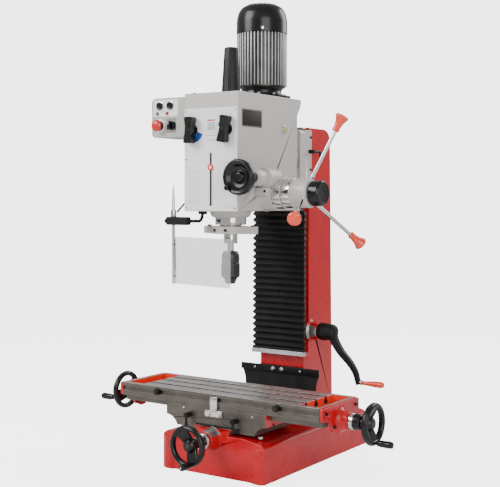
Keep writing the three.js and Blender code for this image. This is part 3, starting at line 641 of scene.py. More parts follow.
class Colours(bpy.types.PropertyGroup):
    """The paints that a user would change."""

    casting: FloatVectorProperty(name="Base and column",
        description="Enamel on the base, column and brackets", subtype="COLOR", size=3,
        default=(0.50, 0.0005, 0.006))
    trough: FloatVectorProperty(name="Table troughs", description="Paint inside the table's end troughs",
        subtype="COLOR", size=3, default=(0.74, 0.035, 0.012))
    head: FloatVectorProperty(name="Head", description="Enamel on the head and its carrier",
        subtype="COLOR", size=3, default=(0.50, 0.468, 0.445))
    knobs: FloatVectorProperty(name="Knobs and grips",
        description="Plastic of the feed knobs and crank grip", subtype="COLOR", size=3,
        default=(0.83, 0.065, 0.022))
    sectors: FloatVectorProperty(name="Lever sectors", description="Plates behind the two speed levers",
        subtype="COLOR", size=3, default=(0.010, 0.070, 0.34))


def make_finishes(colours):
    """Every finish on the machine, by a short name."""
    red = tuple(colours.casting)
    head = tuple(colours.head)
    knobs = tuple(colours.knobs)
    return {"red": painted("Red enamel", red, [c * 0.82 for c in red], 0.24, (120, 0.22), Coat_Weight=0.15,
        Coat_Roughness=0.12, Specular_IOR_Level=0.35), "trough": painted("Trough paint", colours.trough,
        [c * 0.8 for c in colours.trough], 0.36, (160, 0.3)), "grey": painted("Grey enamel", head,
        [c * 0.93 for c in head], 0.36, (240, 0.18), Coat_Weight=0.15, Coat_Roughness=0.2),
        "box": painted("Control box paint", (0.44, 0.42, 0.39), (0.40, 0.38, 0.355), 0.38, (500, 0.2)),
        "white": painted("White plate", (0.82, 0.82, 0.81), (0.77, 0.77, 0.76), 0.34, (600, 0.04),
        Coat_Weight=0.2, Coat_Roughness=0.2), "ink": painted("Plate ink", (0.10, 0.10, 0.11),
        (0.14, 0.14, 0.15), 0.5, (600, 0.05)), "pale_ink": painted("Pale plate ink", (0.42, 0.43, 0.45),
        (0.5, 0.5, 0.52), 0.5, (600, 0.05)), "red_ink": painted("Red plate ink", (0.5, 0.02, 0.02),
        (0.4, 0.02, 0.02), 0.5, (600, 0.05)), "iron": machined("Ground iron", (0.150, 0.132, 0.116),
        (0.098, 0.085, 0.074), (0.36, 0.5), (0.12, 3, 3), 0.2, 60, 0.75),
        "land": machined("Ground table top", (0.60, 0.56, 0.54), (0.49, 0.45, 0.43), (0.26, 0.4),
        (0.08, 6, 1), 0.12, 60, 0.9), "slot": machined("Milled slot", (0.075, 0.068, 0.064),
        # The slot finish below is darker than the iron sides: painted shade inside the table's T-slots.
        (0.05, 0.045, 0.042), (0.4, 0.55), (0.08, 5, 5), 0.2, 60, 0.8),
        "way": machined("Scraped way", (0.36, 0.35, 0.33), (0.26, 0.25, 0.235), (0.3, 0.45), (5, 5, 0.1),
        0.15, 60, 0.9), "steel": machined("Turned steel", (0.60, 0.585, 0.56), (0.50, 0.485, 0.46),
        (0.16, 0.3), (6, 6, 6), 0.05, 90), "plated": machined("Plated steel", (0.72, 0.71, 0.69),
        (0.6, 0.59, 0.57), (0.1, 0.2), (3, 3, 3), 0.03, 80), "dark_steel": machined("Blacked steel",
        (0.07, 0.066, 0.062), (0.04, 0.038, 0.036), (0.3, 0.45), (4, 4, 4), 0.08, 80, 0.8),
        "alloy": machined("Silver motor paint", (0.56, 0.57, 0.585), (0.47, 0.48, 0.5), (0.3, 0.42),
        (3, 3, 0.3), 0.1, 90, 0.85), "black": painted("Black enamel", (0.0035, 0.0033, 0.0033),
        (0.006, 0.0055, 0.0055), 0.24, (300, 0.12), Coat_Weight=0.12, Coat_Roughness=0.1,
        Specular_IOR_Level=0.3), "satin": painted("Satin black", (0.005, 0.0048, 0.0048),
        (0.008, 0.0078, 0.0078), 0.42, (220, 0.35), Specular_IOR_Level=0.25),
        "plastic": painted("Black plastic", (0.003, 0.003, 0.003), (0.005, 0.005, 0.005), 0.2, (700, 0.08),
        Coat_Weight=0.1, Coat_Roughness=0.08, Specular_IOR_Level=0.3),
        "moulded": painted("Ribbed cover plastic", (0.005, 0.0048, 0.0046), (0.009, 0.0085, 0.008), 0.38,
        (500, 0.25), Specular_IOR_Level=0.3), "rubber": painted("Black rubber", (0.008, 0.0078, 0.0075),
        (0.013, 0.0125, 0.012), 0.55, (350, 0.4), Specular_IOR_Level=0.25),
        "orange": painted("Knob plastic", knobs, [c * 0.85 for c in knobs], 0.24, (500, 0.08),
        Coat_Weight=0.3, Coat_Roughness=0.1), "red_plastic": painted("Stop button plastic",
        (0.62, 0.006, 0.008), (0.52, 0.005, 0.006), 0.2, (500, 0.06), Coat_Weight=0.4, Coat_Roughness=0.08),
        "blue": painted("Sector plate", colours.sectors, [c * 0.8 for c in colours.sectors], 0.35,
        (500, 0.1)), "brown": painted("Rating plate", (0.014, 0.008, 0.004), (0.022, 0.013, 0.007), 0.45,
        (900, 0.3), (60, 0.4, 0.6), Specular_IOR_Level=0.25), "green_lamp": painted("Green lamp",
        (0.012, 0.16, 0.03), (0.01, 0.12, 0.02), 0.12, (600, 0.05)),
        "red_lamp": painted("Red lamp", (0.35, 0.006, 0.006), (0.28, 0.005, 0.005), 0.12, (600, 0.05)),
        "oil": painted("Oil in the sight glass", (0.30, 0.32, 0.035), (0.5, 0.5, 0.12), 0.06, (100, 0.02),
        (60, 0.45, 0.55)), "clear": clear_sheet()}


def clear_sheet():
    """The guard's clear sheet, faintly grey, with fine wipe marks."""
    material, shader = finish("Clear sheet", Transmission_Weight=0.0, IOR=1.49, Alpha=0.45)
    links = material.node_tree.links
    tones = dressed(material, "mottle", Tone=(0.42, 0.42, 0.43, 1), Other_tone=(0.47, 0.47, 0.48, 1),
        Size=9.0)
    marks = dressed(material, "streak", Size=40.0, Stretch=(1, 1, 6), Depth=0.02, Rough_low=0.06,
        Rough_high=0.14)
    links.new(tones.outputs["Color"], shader.inputs["Base Color"])
    links.new(marks.outputs["Roughness"], shader.inputs["Roughness"])
    links.new(marks.outputs["Normal"], shader.inputs["Normal"])
    return material


class Sizes(bpy.types.PropertyGroup):
    """The sizes of edges and trim that a user would change."""

    casting_edge: FloatProperty(name="Casting edge",
        description="Radius on the edges of the painted castings", default=2.2 * MM, unit="LENGTH")
    machined_edge: FloatProperty(name="Machined edge", description="Chamfer on ground and milled edges",
        default=0.7 * MM, unit="LENGTH")
    fins: IntProperty(name="Motor fins", description="Cooling fins round the motor", default=44, min=12)
    pleats: IntProperty(name="Cover pleats", description="Folds of the column's way cover", default=22,
        min=4)
    dial_marks: IntProperty(name="Dial marks", description="Graduations round each feed dial", default=50,
        min=10)


FINISH = {}


def sizes():
    return bpy.context.scene.mill_sizes


def fasten(name, piece, paint, spots, node, turn=None):
    """Screws, bolts or marks at stated spots, fixed to the body of a frame node."""
    placed = {} if turn is None else {"Turn": turn}
    trim(repeated(name, "spots", piece, FINISH[paint], spots, **placed), node)


def scaled(points):
    """A profile given in millimetres as (distance, radius)."""
    return [(d * MM, r * MM) for d, r in points]


class PieceOperator:
    """What the operators share."""

    bl_options = {"REGISTER", "UNDO"}


# ---------------------------------------------------------------- base and column

class MILL_OT_base(PieceOperator, bpy.types.Operator):
    """Build the base casting with its ways, corner pads and bolts"""

    bl_idname = "mill.base"
    bl_label = "Base"

    def execute(self, context):
        place = AT["base_casting"]
        half, back, way = place.hi.x, place.hi.y, place.hi.z
        front = -back
        side, shoulder, deck = 118 * MM, 128 * MM, 140 * MM
        neck, crest, inner = 62 * MM, 78 * MM, 40 * MM
        right = [(half, 0), (half, side), (half - 14 * MM, shoulder), (120 * MM, deck), (neck, deck),
            (crest, way)]
        outline = [*right, *[(-x, z) for x, z in reversed(right)]]
        bm = bmesh.new()
        prism(bm, "y", outline, front, back)
        obj = made("base", bm, FINISH["red"], FINISH["way"])
        screw_z = AT["y_screw"].mid.z

        def pad(at):
            corners = rounded_rect(at - 26 * MM, at + 26 * MM, front - 9 * MM, front + 60 * MM, 22 * MM, 10)
            return lambda bm: prism(bm, "z", corners, 0, side - 6 * MM)

        def boss(bm):
            profile = scaled([(-2, 0), (-2, 37), (1, 37), (8, 33), (43, 30), (43, 0)])
            lathe(bm, (0, front, screw_z), (0, -1, 0), profile, soft=3 * MM, sides=64)

        def trench(bm):
            block(bm, (-inner, front + 20 * MM, 60 * MM), (inner, 70 * MM, way + 5 * MM), 0)

        def rear_deck(bm):
            reach = crest + 2 * MM
            block(bm, (-reach, 62 * MM, deck), (reach, back + 1 * MM, way + 5 * MM), 0)

        def pocket(column, row):
            pitch = (back - front - 20 * MM) / 4
            start = front + 20 * MM + row * pitch
            x0, x1 = sorted((column * 56 * MM, column * 180 * MM))
            return lambda bm: block(bm, (x0, start, -1 * MM), (x1, start + pitch - 20 * MM, 112 * MM), 0)

        steps = [("UNION", pad(-180 * MM)), ("UNION", pad(180 * MM)), ("UNION", boss)]
        steps += [("DIFFERENCE", trench), ("DIFFERENCE", rear_deck)]
        steps += [("DIFFERENCE", pocket(column, row)) for column in (-1, 1) for row in range(4)]
        booleans(obj, steps)
        round_edges(obj, sizes().casting_edge)
        paint_faces(obj, lambda centre,
            normal: int(abs(centre.x) < crest + 1 * MM and deck + 1.5 * MM < centre.z
            and centre.y < 62 * MM and normal.y > -0.7))
        show(obj, "red_enamel", "base_casting")
        bolts = repeated("base_bolts", "spots", hex_bolt(8 * MM, 7 * MM), FINISH["plated"],
            [(x, y, deck - 4 * MM + 0.5 * MM) for x in (-158 * MM, 158 * MM) for y in (-300 * MM,
            300 * MM)])
        trim(bolts, "base_casting")
        feet = bmesh.new()
        for x in (-180 * MM, 180 * MM):
            for z in (14 * MM, 92 * MM):
                lathe(feet, (x, front - 9 * MM + 0.4 * MM, z), (0, -1, 0),
                    scaled([(0, 0), (0, 6), (2.4, 5), (2.4, 0)]), sides=32)
        trim(made("base_pad_plugs", feet, FINISH["red"]), "base_casting")
        return {"FINISHED"}


class MILL_OT_column(PieceOperator, bpy.types.Operator):
    """Build the column casting with its dovetail ways and crank boss"""

    bl_idname = "mill.column"
    bl_label = "Column"

    def execute(self, context):
        place = AT["column_casting"]
        crank = AT["crank_shaft"].mid
        half, top, foot = 92 * MM, place.hi.z, place.hi.y
        low, back, front, floor = 80 * MM, 262 * MM, 112 * MM, place.lo.z
        outline = [(low, floor), (foot, floor), (back, top - 46 * MM)]
        outline += [(back - 46 * MM * (1 - math.cos(a)),
            top - 46 * MM * (1 - math.sin(a))) for a in [math.radians(9 * k) for k in range(1, 11)]]
        outline += [(front, top), (front, 362 * MM), (low, 358 * MM)]
        bm = bmesh.new()
        prism(bm, "x", outline, -half, half)
        obj = made("column", bm, FINISH["red"], FINISH["way"])
        way = [(88 * MM, 69.5 * MM), (70 * MM, 100 * MM), (70 * MM, front + 2 * MM)]
        dovetail = [*way, *[(-x, y) for x, y in reversed(way)]]

        def boss(bm):
            profile = scaled([(-2, 0), (-2, 40), (1, 40), (8, 33), (34.8, 30), (34.8, 0)])
            lathe(bm, (half, crank.y, crank.z), (1, 0, 0), profile, soft=3 * MM, sides=64)

        def channel(bm):
            block(bm, (-55 * MM, 60 * MM, 395 * MM), (55 * MM, 200 * MM, 1148 * MM), 0)

        def bore(bm):
            rod(bm, (40 * MM, crank.y, crank.z), (140 * MM, crank.y, crank.z), 12.5 * MM)

        def screw_bore(bm):
            rod(bm, (0, crank.y, 1143 * MM), (0, crank.y, top + 5 * MM), 10.5 * MM)

        booleans(obj, [("UNION", lambda bm: prism(bm, "z", dovetail, 360 * MM, top)), ("UNION", boss),
            ("DIFFERENCE", channel), ("DIFFERENCE", bore), ("DIFFERENCE", screw_bore)])
        round_edges(obj, sizes().casting_edge)
        paint_faces(obj, lambda centre, normal: int(centre.y < front - 3 * MM and centre.z > 368 * MM))
        show(obj, "red_enamel", "column_casting")
        spots = [(x, y, top - 0.3 * MM) for x in (-60 * MM, 60 * MM) for y in (150 * MM, 205 * MM)]
        fasten("column_top_screws", screw(6 * MM, 4 * MM), "dark_steel", spots, "column_casting")
        return {"FINISHED"}


class MILL_OT_way_cover(PieceOperator, bpy.types.Operator):
    """Build the pleated way cover, its clamp bar and the flap behind the table"""

    bl_idname = "mill.way_cover"
    bl_label = "Way cover"

    def execute(self, context):
        place = AT["way_cover_bellows"]
        bar_top = 380 * MM
        count = sizes().pleats
        pitch = (place.hi.z - bar_top) / count
        half = place.hi.x
        valley_y, ridge_y = 57.5 * MM, 46.4 * MM
        pleat = bmesh.new()
        section = [(valley_y, 0), (ridge_y + 1.5 * MM, pitch * 0.40), (ridge_y, pitch * 0.5),
            (ridge_y + 1.5 * MM, pitch * 0.60), (valley_y, pitch)]
        rings = []
        for y, z in section:
            width = half - 6 * MM * (y - ridge_y) / (valley_y - ridge_y)
            front = [(-width, 66 * MM), (-width, y + 4 * MM), (-width + 4 * MM, y), (width - 4 * MM, y),
                (width, y + 4 * MM), (width, 66 * MM)]
            rings.append([pleat.verts.new((u, v, z)) for u, v in front])
        for below, above in zip(rings, rings[1:]):
            bridge(pleat, below, above, 0)
        pleat.faces.new(rings[0])
        pleat.faces.new(rings[-1])
        cover = repeated("way_cover", "row", pleat, FINISH["rubber"], Count=count, Start=(0, 0, bar_top),
            Step=(0, 0, pitch))
        show(cover, "black_rubber", "way_cover_bellows")
        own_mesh(cover)

        bar = bmesh.new()
        block(bar, (-half, place.lo.y + 1 * MM, place.lo.z), (half, place.hi.y, place.lo.z + 15 * MM),
            0.8 * MM)
        block(bar, (-half, place.lo.y + 6 * MM, place.lo.z + 15 * MM), (half, place.hi.y, bar_top),
            0.6 * MM, 1)
        trim(made("way_cover_clamp", bar, FINISH["alloy"], FINISH["rubber"]), "way_cover_bellows")
        quarter = Vector((math.radians(90), 0, 0))
        spots = [(x, place.lo.y + 1.2 * MM, place.lo.z + 7.5 * MM) for x in (-92 * MM, -36 * MM, 36 * MM,
            92 * MM)]
        fasten("way_cover_screws", screw(4 * MM, 1.1 * MM), "plated", spots, "way_cover_bellows",
            quarter)
        self.build_flap(quarter)
        return {"FINISHED"}

    def build_flap(self, quarter):
        """The rubber flap hangs in a shallow wave from its clamp bar."""
        place = AT["way_flap"]
        bar_low = place.hi.z - 23 * MM
        middle = 70 * MM
        flap = bmesh.new()
        across, down = 60, 26
        sheets = []
        for face_y in (-2.2 * MM, 2.2 * MM):
            rows = []
            for r in range(down + 1):
                fall = r / down
                waist = 1 - 0.09 * math.sin(math.pi * fall ** 0.9)
                rows.append([flap.verts.new((place.hi.x * waist * (2 * c / across - 1),
                    middle + face_y + 2.6 * MM * fall * math.sin(c * 0.42) - 1.2 * MM * fall,
                    bar_low + 4 * MM - (bar_low + 4 * MM - place.lo.z) * fall)) for c in range(across + 1)])
            sheets.append(rows)
        for rows in sheets:
            for above, below in zip(rows, rows[1:]):
                for c in range(across):
                    flap.faces.new((above[c], above[c + 1], below[c + 1], below[c]))
        front, rear = sheets
        outlines = []
        for rows in (front, rear):
            right_side = [row[-1] for row in rows[1:-1]]
            left_side = [row[0] for row in reversed(rows[1:-1])]
            outlines.append([*rows[0], *right_side, *reversed(rows[-1]), *left_side])
        bridge(flap, outlines[0], outlines[1], 0)
        show(made("way_flap_sheet", flap, FINISH["rubber"]), "black_rubber", "way_flap")

        bar = bmesh.new()
        block(bar, (-place.hi.x, place.lo.y, bar_low), (place.hi.x, place.lo.y + 6.5 * MM, place.hi.z),
            0.8 * MM)
        block(bar, (-90 * MM, place.lo.y + 6 * MM, place.hi.z - 12 * MM), (90 * MM, place.hi.y, place.hi.z),
            0.6 * MM)
        trim(made("way_flap_clamp", bar, FINISH["satin"]), "way_flap")
        height = (bar_low + place.hi.z) / 2
        big = [(x, place.lo.y + 0.3 * MM, height) for x in (-26 * MM, 11 * MM)]
        fasten("way_flap_washer_screws", hex_bolt(6.4 * MM, 3 * MM), "plated", big, "way_flap",
            quarter)
        small = [(x, place.lo.y + 0.3 * MM, height) for x in (-104 * MM, 89 * MM)]
        fasten("way_flap_screws", screw(4.2 * MM, 2 * MM), "plated", small, "way_flap", quarter)


# ---------------------------------------------------------------- saddle and table

class MILL_OT_saddle(PieceOperator, bpy.types.Operator):
    """Build the saddle, its locks, oil caps and the travel stop"""

    bl_idname = "mill.saddle"
    bl_label = "Saddle"

    def execute(self, context):
        obj = copy_of("saddle", "saddle_casting", FINISH["iron"], FINISH["red"])
        round_edges(obj, sizes().machined_edge * 1.6)
        side = AT["saddle_casting"].hi.x - 3 * MM
        paint_faces(obj, lambda centre, normal: int(abs(centre.x) > side and abs(normal.x) > 0.7))
        show(obj, "ground_iron", "saddle_casting")
        front = AT["saddle_casting"].lo.y
        for name in ("saddle_lock_left", "saddle_lock_right"):
            place = AT[name]
            x, top = place.mid.x, place.hi.z
            bm = bmesh.new()
            stud_z = top - 6 * MM
            lathe(bm, (x, front - 0.3 * MM, stud_z), (0, -1, 0),
                scaled([(0, 0), (0, 9), (6, 9), (6, 6), (14, 6), (14, 9), (28.5, 8.6), (29.6, 0)]),
                sides=40)
            drop = smooth_path([(x, front - 24 * MM, stud_z), (x, front - 24 * MM, stud_z - 12 * MM),
                (x, front - 24 * MM, place.lo.z + 4.2 * MM)], 14)
            sweep(bm, drop, lambda share: circle(5.6 * MM - 1.6 * MM * math.sin(math.pi * share))(0),
                up=(1, 0, 0))
            lathe(bm, (x, front - 24 * MM, place.lo.z + 7 * MM), (0, 0, -1),
                scaled([(-7, 4), (0, 6.6), (5, 6.2), (7, 3), (7, 0)]), sides=32)
            show(made(f"{name}_lever", bm, FINISH["satin"]), "black_enamel", name)
        self.build_stop(front)
        return {"FINISHED"}

    def build_stop(self, front):
        """The silver stop that the table's dogs meet, and small fittings on the saddle's face."""
        under_lip = AT["table_casting"].lo.y - 0.6 * MM
        bm = bmesh.new()
        foot_low, foot_high, tip = 196 * MM, 217 * MM, 262 * MM
        block(bm, (-34 * MM, front - 8 * MM, foot_low), (34 * MM, front - 0.2 * MM, foot_high), 1.2 * MM)
        block(bm, (-14 * MM, front - 8 * MM, foot_high - 3 * MM), (14 * MM, under_lip - 0.4 * MM, tip),
            1.2 * MM)
        trim(made("travel_stop", bm, FINISH["plated"]), "saddle_casting")
        quarter = Vector((math.radians(90), 0, 0))
        spots = [(x, front - 7.8 * MM, 206 * MM) for x in (-22 * MM, 22 * MM)]
        fasten("travel_stop_screws", screw(9.6 * MM, 6 * MM, False), "plated", spots,
            "saddle_casting", quarter)
        caps = [(x, front + 0.2 * MM, 213 * MM) for x in (-128 * MM, 150 * MM)]
        fasten("saddle_oil_caps", screw(3.6 * MM, 2.2 * MM, False), "plated", caps,
            "saddle_casting", quarter)
        gib = [(AT["saddle_casting"].hi.x - 0.3 * MM, y, 186 * MM) for y in (-290 * MM, -216 * MM,
            -142 * MM)]
        sideways = Vector((0, math.radians(90), 0))
        fasten("saddle_gib_screws", screw(4.5 * MM, 3 * MM), "dark_steel", gib, "saddle_casting",
            sideways)
        wiper = bmesh.new()
        back = AT["saddle_casting"].hi.y
        for side in (-1, 1):
            x0, x1 = sorted((side * 64 * MM, side * 96 * MM))
            block(wiper, (x0, back, 150.6 * MM), (x1, back + 4 * MM, 168 * MM), 0.8 * MM)
        # The black strip across the saddle's front is partly a way wiper and partly painted shadow under
        # the saddle's front edge.
        block(wiper, (-72 * MM, front - 4 * MM, 150.6 * MM), (100 * MM, front, 167 * MM), 0.8 * MM)
        trim(made("saddle_way_wipers", wiper, FINISH["rubber"]), "saddle_casting")


class MILL_OT_table(PieceOperator, bpy.types.Operator):
    """Build the slotted table, its painted troughs, end brackets and stop dogs"""

    bl_idname = "mill.table"
    bl_label = "Table"

    def execute(self, context):
        place = AT["table_casting"]
        obj = copy_of("table", "table_casting", FINISH["iron"], FINISH["land"], FINISH["slot"],
            FINISH["trough"])
        round_edges(obj, sizes().machined_edge)
        trough_from, top, floor = 317 * MM, place.hi.z, 239 * MM
        slot_half = 100 * MM

        def choose(centre, normal):
            if centre.z > top - 1 * MM and normal.z > 0.7:
                return 1
            inside = abs(centre.y - place.mid.y) < slot_half + 3 * MM and centre.z > floor
            if inside and abs(centre.x) > trough_from:
                return 3
            # Slot faces below the top take the darker slot finish: painted shade inside the T-slots.
            return 2 if inside and centre.z > 245 * MM else 0

        paint_faces(obj, choose)
        show(obj, "ground_iron", "table_casting")
        for side, node in ((1, "table_end_bracket_right"), (-1, "table_end_bracket_left")):
            self.build_bracket(side, node)
        for node in ("stop_dog_left", "stop_dog_right"):
            dog = AT[node]
            face = dog.lo.y + 13 * MM
            bm = bmesh.new()
            block(bm, (dog.lo.x, face - 1 * MM, dog.lo.z + 5 * MM), (dog.hi.x, dog.hi.y, dog.hi.z - 5 * MM),
                0.5 * MM)
            lathe(bm, (dog.mid.x, face, dog.mid.z), (0, -1, 0),
                scaled([(0, 0), (0, 11), (9, 11), (10, 8), (10, 0)]), sides=48)
            lathe(bm, (dog.mid.x, face - 9.8 * MM, dog.mid.z), (0, -1, 0),
                scaled([(0, 0), (0, 5), (3.2, 5), (3.2, 2.6), (1, 2.6), (1, 0)]), sides=32, index=1)
            show(made(f"{node}_cap", bm, FINISH["satin"], FINISH["dark_steel"]), "black_enamel", node)
        return {"FINISHED"}

    def build_bracket(self, side, node):
        """A cheek over the table's end with a flared boss round the screw."""
        bed = AT["table_casting"]
        start = bed.hi.x + 0.3 * MM
        axis_z = AT["x_screw"].mid.z
        mid = bed.mid.y
        thick = 11 * MM
        outline = [(-119, 226), (-119, 269), (119, 269), (119, 226), (70, 222), (46, 180), (-46, 180),
            (-70, 222)]
        outline = [(mid + y * MM, z * MM) for y, z in outline]
        bm = bmesh.new()
        near, far = sorted((side * start, side * (start + thick)))
        prism(bm, "x", outline, near, far, soft=7 * MM)
        obj = made(f"{node}_casting", bm, FINISH["red"])
        boss = [(0, 0), (0, 50), (5, 39), (17, 32), (36.2, 30), (36.2, 0)]
        booleans(obj, [("UNION", lambda bm: lathe(bm, (side * (start + 9 * MM), mid, axis_z), (side, 0, 0),
            scaled(boss), soft=4 * MM, sides=72)), ("DIFFERENCE",
            lambda bm: rod(bm, (side * (start - MM), mid, axis_z), (side * (start + 60 * MM), mid, axis_z),
            9.5 * MM))])
        round_edges(obj, sizes().casting_edge * 0.8)
        show(obj, "red_enamel", node)
        spots = [(side * (start + thick - 0.3 * MM), mid + y * MM, z * MM) for y,
            z in ((-96, 250), (96, 250), (-44, 200), (44, 200))]
        turn = Vector((0, math.radians(90 * side), 0))
        fasten(f"{node}_screws", screw(6 * MM, 5 * MM), "dark_steel", spots, node, turn)


# ---------------------------------------------------------------- head

FRONT, RIGHT_SIDE, UP = (0, -1, 0), (1, 0, 0), (0, 0, 1)
QUARTER_FRONT = Vector((math.radians(90), 0, 0))
QUARTER_RIGHT = Vector((0, math.radians(90), 0))


class MILL_OT_carrier(PieceOperator, bpy.types.Operator):
    """Build the head carrier with its tilt disc and column lock lever"""

    bl_idname = "mill.carrier"
    bl_label = "Head carrier"

    def execute(self, context):
        place = AT["head_carrier"]
        tilt_z = 1055 * MM
        obj = copy_of("carrier", "head_carrier", FINISH["grey"], FINISH["way"])
        round_edges(obj, 1.2 * MM)
        show(obj, "grey_enamel", "head_carrier")
        disc = bmesh.new()
        profile = scaled([(0.2, 0), (0.2, 100.4), (24, 100.4), (25, 0)])
        lathe(disc, (0, place.lo.y, tilt_z), (0, 1, 0), profile, sides=128)
        trim(made("tilt_disc", disc, FINISH["way"]), "head_carrier")
        tick = bmesh.new()
        block(tick, (100.2 * MM, -0.3 * MM, -6 * MM), (100.9 * MM, 0.3 * MM, 6 * MM), 0)
        marks = repeated("tilt_scale", "round", tick, FINISH["ink"], Count=37,
            **{"Step angle": math.radians(5)}, Turn=QUARTER_FRONT,
            Centre=Vector((0, place.lo.y + 12 * MM, tilt_z)))
        trim(marks, "head_carrier")
        self.build_lock()
        gib = [(place.hi.x - 0.3 * MM, 100 * MM, z * MM) for z in (915, 975, 1020, 1135)]
        fasten("carrier_gib_screws", screw(5 * MM, 3 * MM), "dark_steel", gib, "head_carrier",
            QUARTER_RIGHT)
        return {"FINISHED"}

    def build_lock(self):
        """The lock is a bent black lever on a stud through the carrier's side."""
        lever = AT["column_lock_lever"]
        y, z = lever.lo.y + 6 * MM, lever.hi.z - 5 * MM
        x = lever.hi.x - 5.5 * MM
        bm = bmesh.new()
        lathe(bm, (lever.lo.x, y, z), RIGHT_SIDE, scaled([(0, 0), (0, 7), (21, 7), (21.5, 0)]), sides=40)
        path = smooth_path([(x, y - 4 * MM, z), (x, y + 20 * MM, z), (x, lever.hi.y - 9 * MM, z),
            (x, lever.hi.y - 4.6 * MM, z - 5 * MM), (x, lever.hi.y - 4.6 * MM, z - 24 * MM),
            (x, lever.hi.y - 4.6 * MM, lever.lo.z + 0.4 * MM)], 40)
        sweep(bm, path, circle(4.6 * MM, 20), up=(1, 0, 0))
        show(made("column_lock", bm, FINISH["satin"]), "black_enamel", "column_lock_lever")


class MILL_OT_head(PieceOperator, bpy.types.Operator):
    """Build the head casting, its front plate and the fittings on its sides"""

    bl_idname = "mill.head"
    bl_label = "Head"

    def execute(self, context):
        half, front, back = 107 * MM, HEAD.lo.y, 4 * MM
        low, top, lip = 875 * MM, HEAD.hi.z, HEAD.hi.y
        outline = [(front, low), (back, low), (back, 1205 * MM), (lip - 6 * MM, top - 30 * MM),
            (lip, top - 12 * MM), (lip, top), (front, top)]
        bm = bmesh.new()
        prism(bm, "x", outline, -half, half)
        obj = made("head", bm, FINISH["grey"])
        centre_y = SPINDLE.y
        feed_x, feed_z = AT["fine_feed_wheel"].mid.x, AT["fine_feed_wheel"].mid.z
        pinion = [(-3, 0), (-3, 60), (0, 60), (11, 57), (43, 54), (43.3, 50.6), (80, 50.6), (80, 0)]
        nose = [(-2, 0), (-2, 71), (1, 71), (16, 64.5), (21, 58), (21, 0)]
        chamber = ((-88, 5, 1035), (88, 325, 1235))

        def feed_boss(bm):
            rod(bm, (feed_x, centre_y - 10 * MM, feed_z), (feed_x, centre_y + 60 * MM, feed_z), 33 * MM,
                3 * MM, 64)

        def feed_web(bm):
            block(bm, (half - MM, centre_y - 8 * MM, feed_z - 29 * MM),
                (feed_x, centre_y + 58 * MM, feed_z + 29 * MM), 0)

        def hollow(bm):
            lo, hi = [Vector(corner) * MM + Vector((0, front, 0)) for corner in chamber]
            hi.y = back - 25 * MM
            block(bm, lo, hi, 0)

        def bore(bm):
            rod(bm, (SPINDLE.x, centre_y, 840 * MM), (SPINDLE.x, centre_y, 1040 * MM), 37.6 * MM, 0)

        booleans(obj, [("UNION", lambda bm: lathe(bm, (half, PINION.y, PINION.z), RIGHT_SIDE,
            scaled(pinion), 2 * MM, 96)), ("UNION", lambda bm: lathe(bm, (SPINDLE.x, centre_y, low),
            (0, 0, -1), scaled(nose), 2 * MM, 96)), ("UNION", feed_boss), ("UNION", feed_web),
            ("DIFFERENCE", hollow), ("DIFFERENCE", bore), ("DIFFERENCE",
            lambda bm: block(bm, (-2.5 * MM, front - MM, 893 * MM), (5.5 * MM, front + 14 * MM, 1066 * MM),
            0)), ("DIFFERENCE", lambda bm: rod(bm, (-90 * MM, PINION.y, PINION.z),
            (190 * MM, PINION.y, PINION.z), 13.5 * MM, 0))])
        round_edges(obj, sizes().casting_edge * 0.8)
        show(obj, "grey_enamel", "head_casting")
        collar = bmesh.new()
        lathe(collar, (SPINDLE.x, centre_y, low), (0, 0, -1), scaled([(20.6, 38), (20.6, 52), (44.8, 52),
            (44.8, 38)]), 1.4 * MM, 96, closed=True)
        trim(made("quill_collar", collar, FINISH["plated"]), "head_casting")
        self.build_plate(front)
        self.build_side_fittings(half)
        return {"FINISHED"}

    def build_plate(self, front):
        """The white plate carries screws, a depth scale and plain ruled panels."""
        obj = copy_of("front_plate", "head_front_plate", FINISH["white"])
        round_edges(obj, 0.5 * MM, 2)
        show(obj, "plate_white", "head_front_plate")
        face = PLATE.lo.y
        spots = [(x, face + 0.2 * MM, z) for x in (PLATE.lo.x + 8 * MM,
            PLATE.hi.x - 8 * MM) for z in (PLATE.lo.z + 10 * MM, (PLATE.lo.z + PLATE.hi.z) / 2,
            PLATE.hi.z - 10 * MM)]
        fasten("plate_screws", screw(4 * MM, 1.6 * MM), "plated", spots, "head_front_plate",
            QUARTER_FRONT)
        slot_x, slot_low, slot_high = 1.5 * MM, 893 * MM, 1066 * MM
        # A satin black block behind the depth slot: painted shade inside the slot.
        painted_slot_shade = bmesh.new()
        block(painted_slot_shade, (slot_x - 3.7 * MM, face + 0.5 * MM, slot_low + 0.3 * MM),
            (slot_x + 3.7 * MM, face + 2.4 * MM, slot_high - 0.3 * MM), 0)
        trim(made("depth_slot_shade", painted_slot_shade, FINISH["satin"]), "head_front_plate")
        for name, count, step, reach in (("fine", 121, 1, 4), ("coarse", 13, 10, 9)):
            tick = bmesh.new()
            block(tick, (0, -0.08 * MM, -0.12 * MM), (reach * MM, 0.1 * MM, 0.12 * MM), 0)
            trim(repeated(f"depth_scale_{name}", "row", tick, FINISH["ink"], Count=count,
                Start=Vector((slot_x + 7 * MM, face, 899 * MM)), Step=Vector((0, 0, step * MM))),
                "head_front_plate")
        self.build_print(face)
        pointer = AT["depth_pointer"]
        bm = bmesh.new()
        at = (pointer.mid.x, face - 0.3 * MM, pointer.mid.z)
        lathe(bm, at, FRONT, scaled([(0, 5.6), (0, 10.5), (3, 10.2), (3, 5.6)]), 0.4 * MM, 64, closed=True)
        lathe(bm, at, FRONT, scaled([(0, 0), (0, 5.7), (1.8, 5.7), (1.8, 0)]), 0.3 * MM, 48, index=1)
        rod(bm, (at[0], face + 1 * MM, at[2]), (at[0], face + 14 * MM, at[2]), 3 * MM, 0.3 * MM, 24)
        show(made("depth_marker", bm, FINISH["red_plastic"], FINISH["white"]), "red_plastic",
            "depth_pointer")

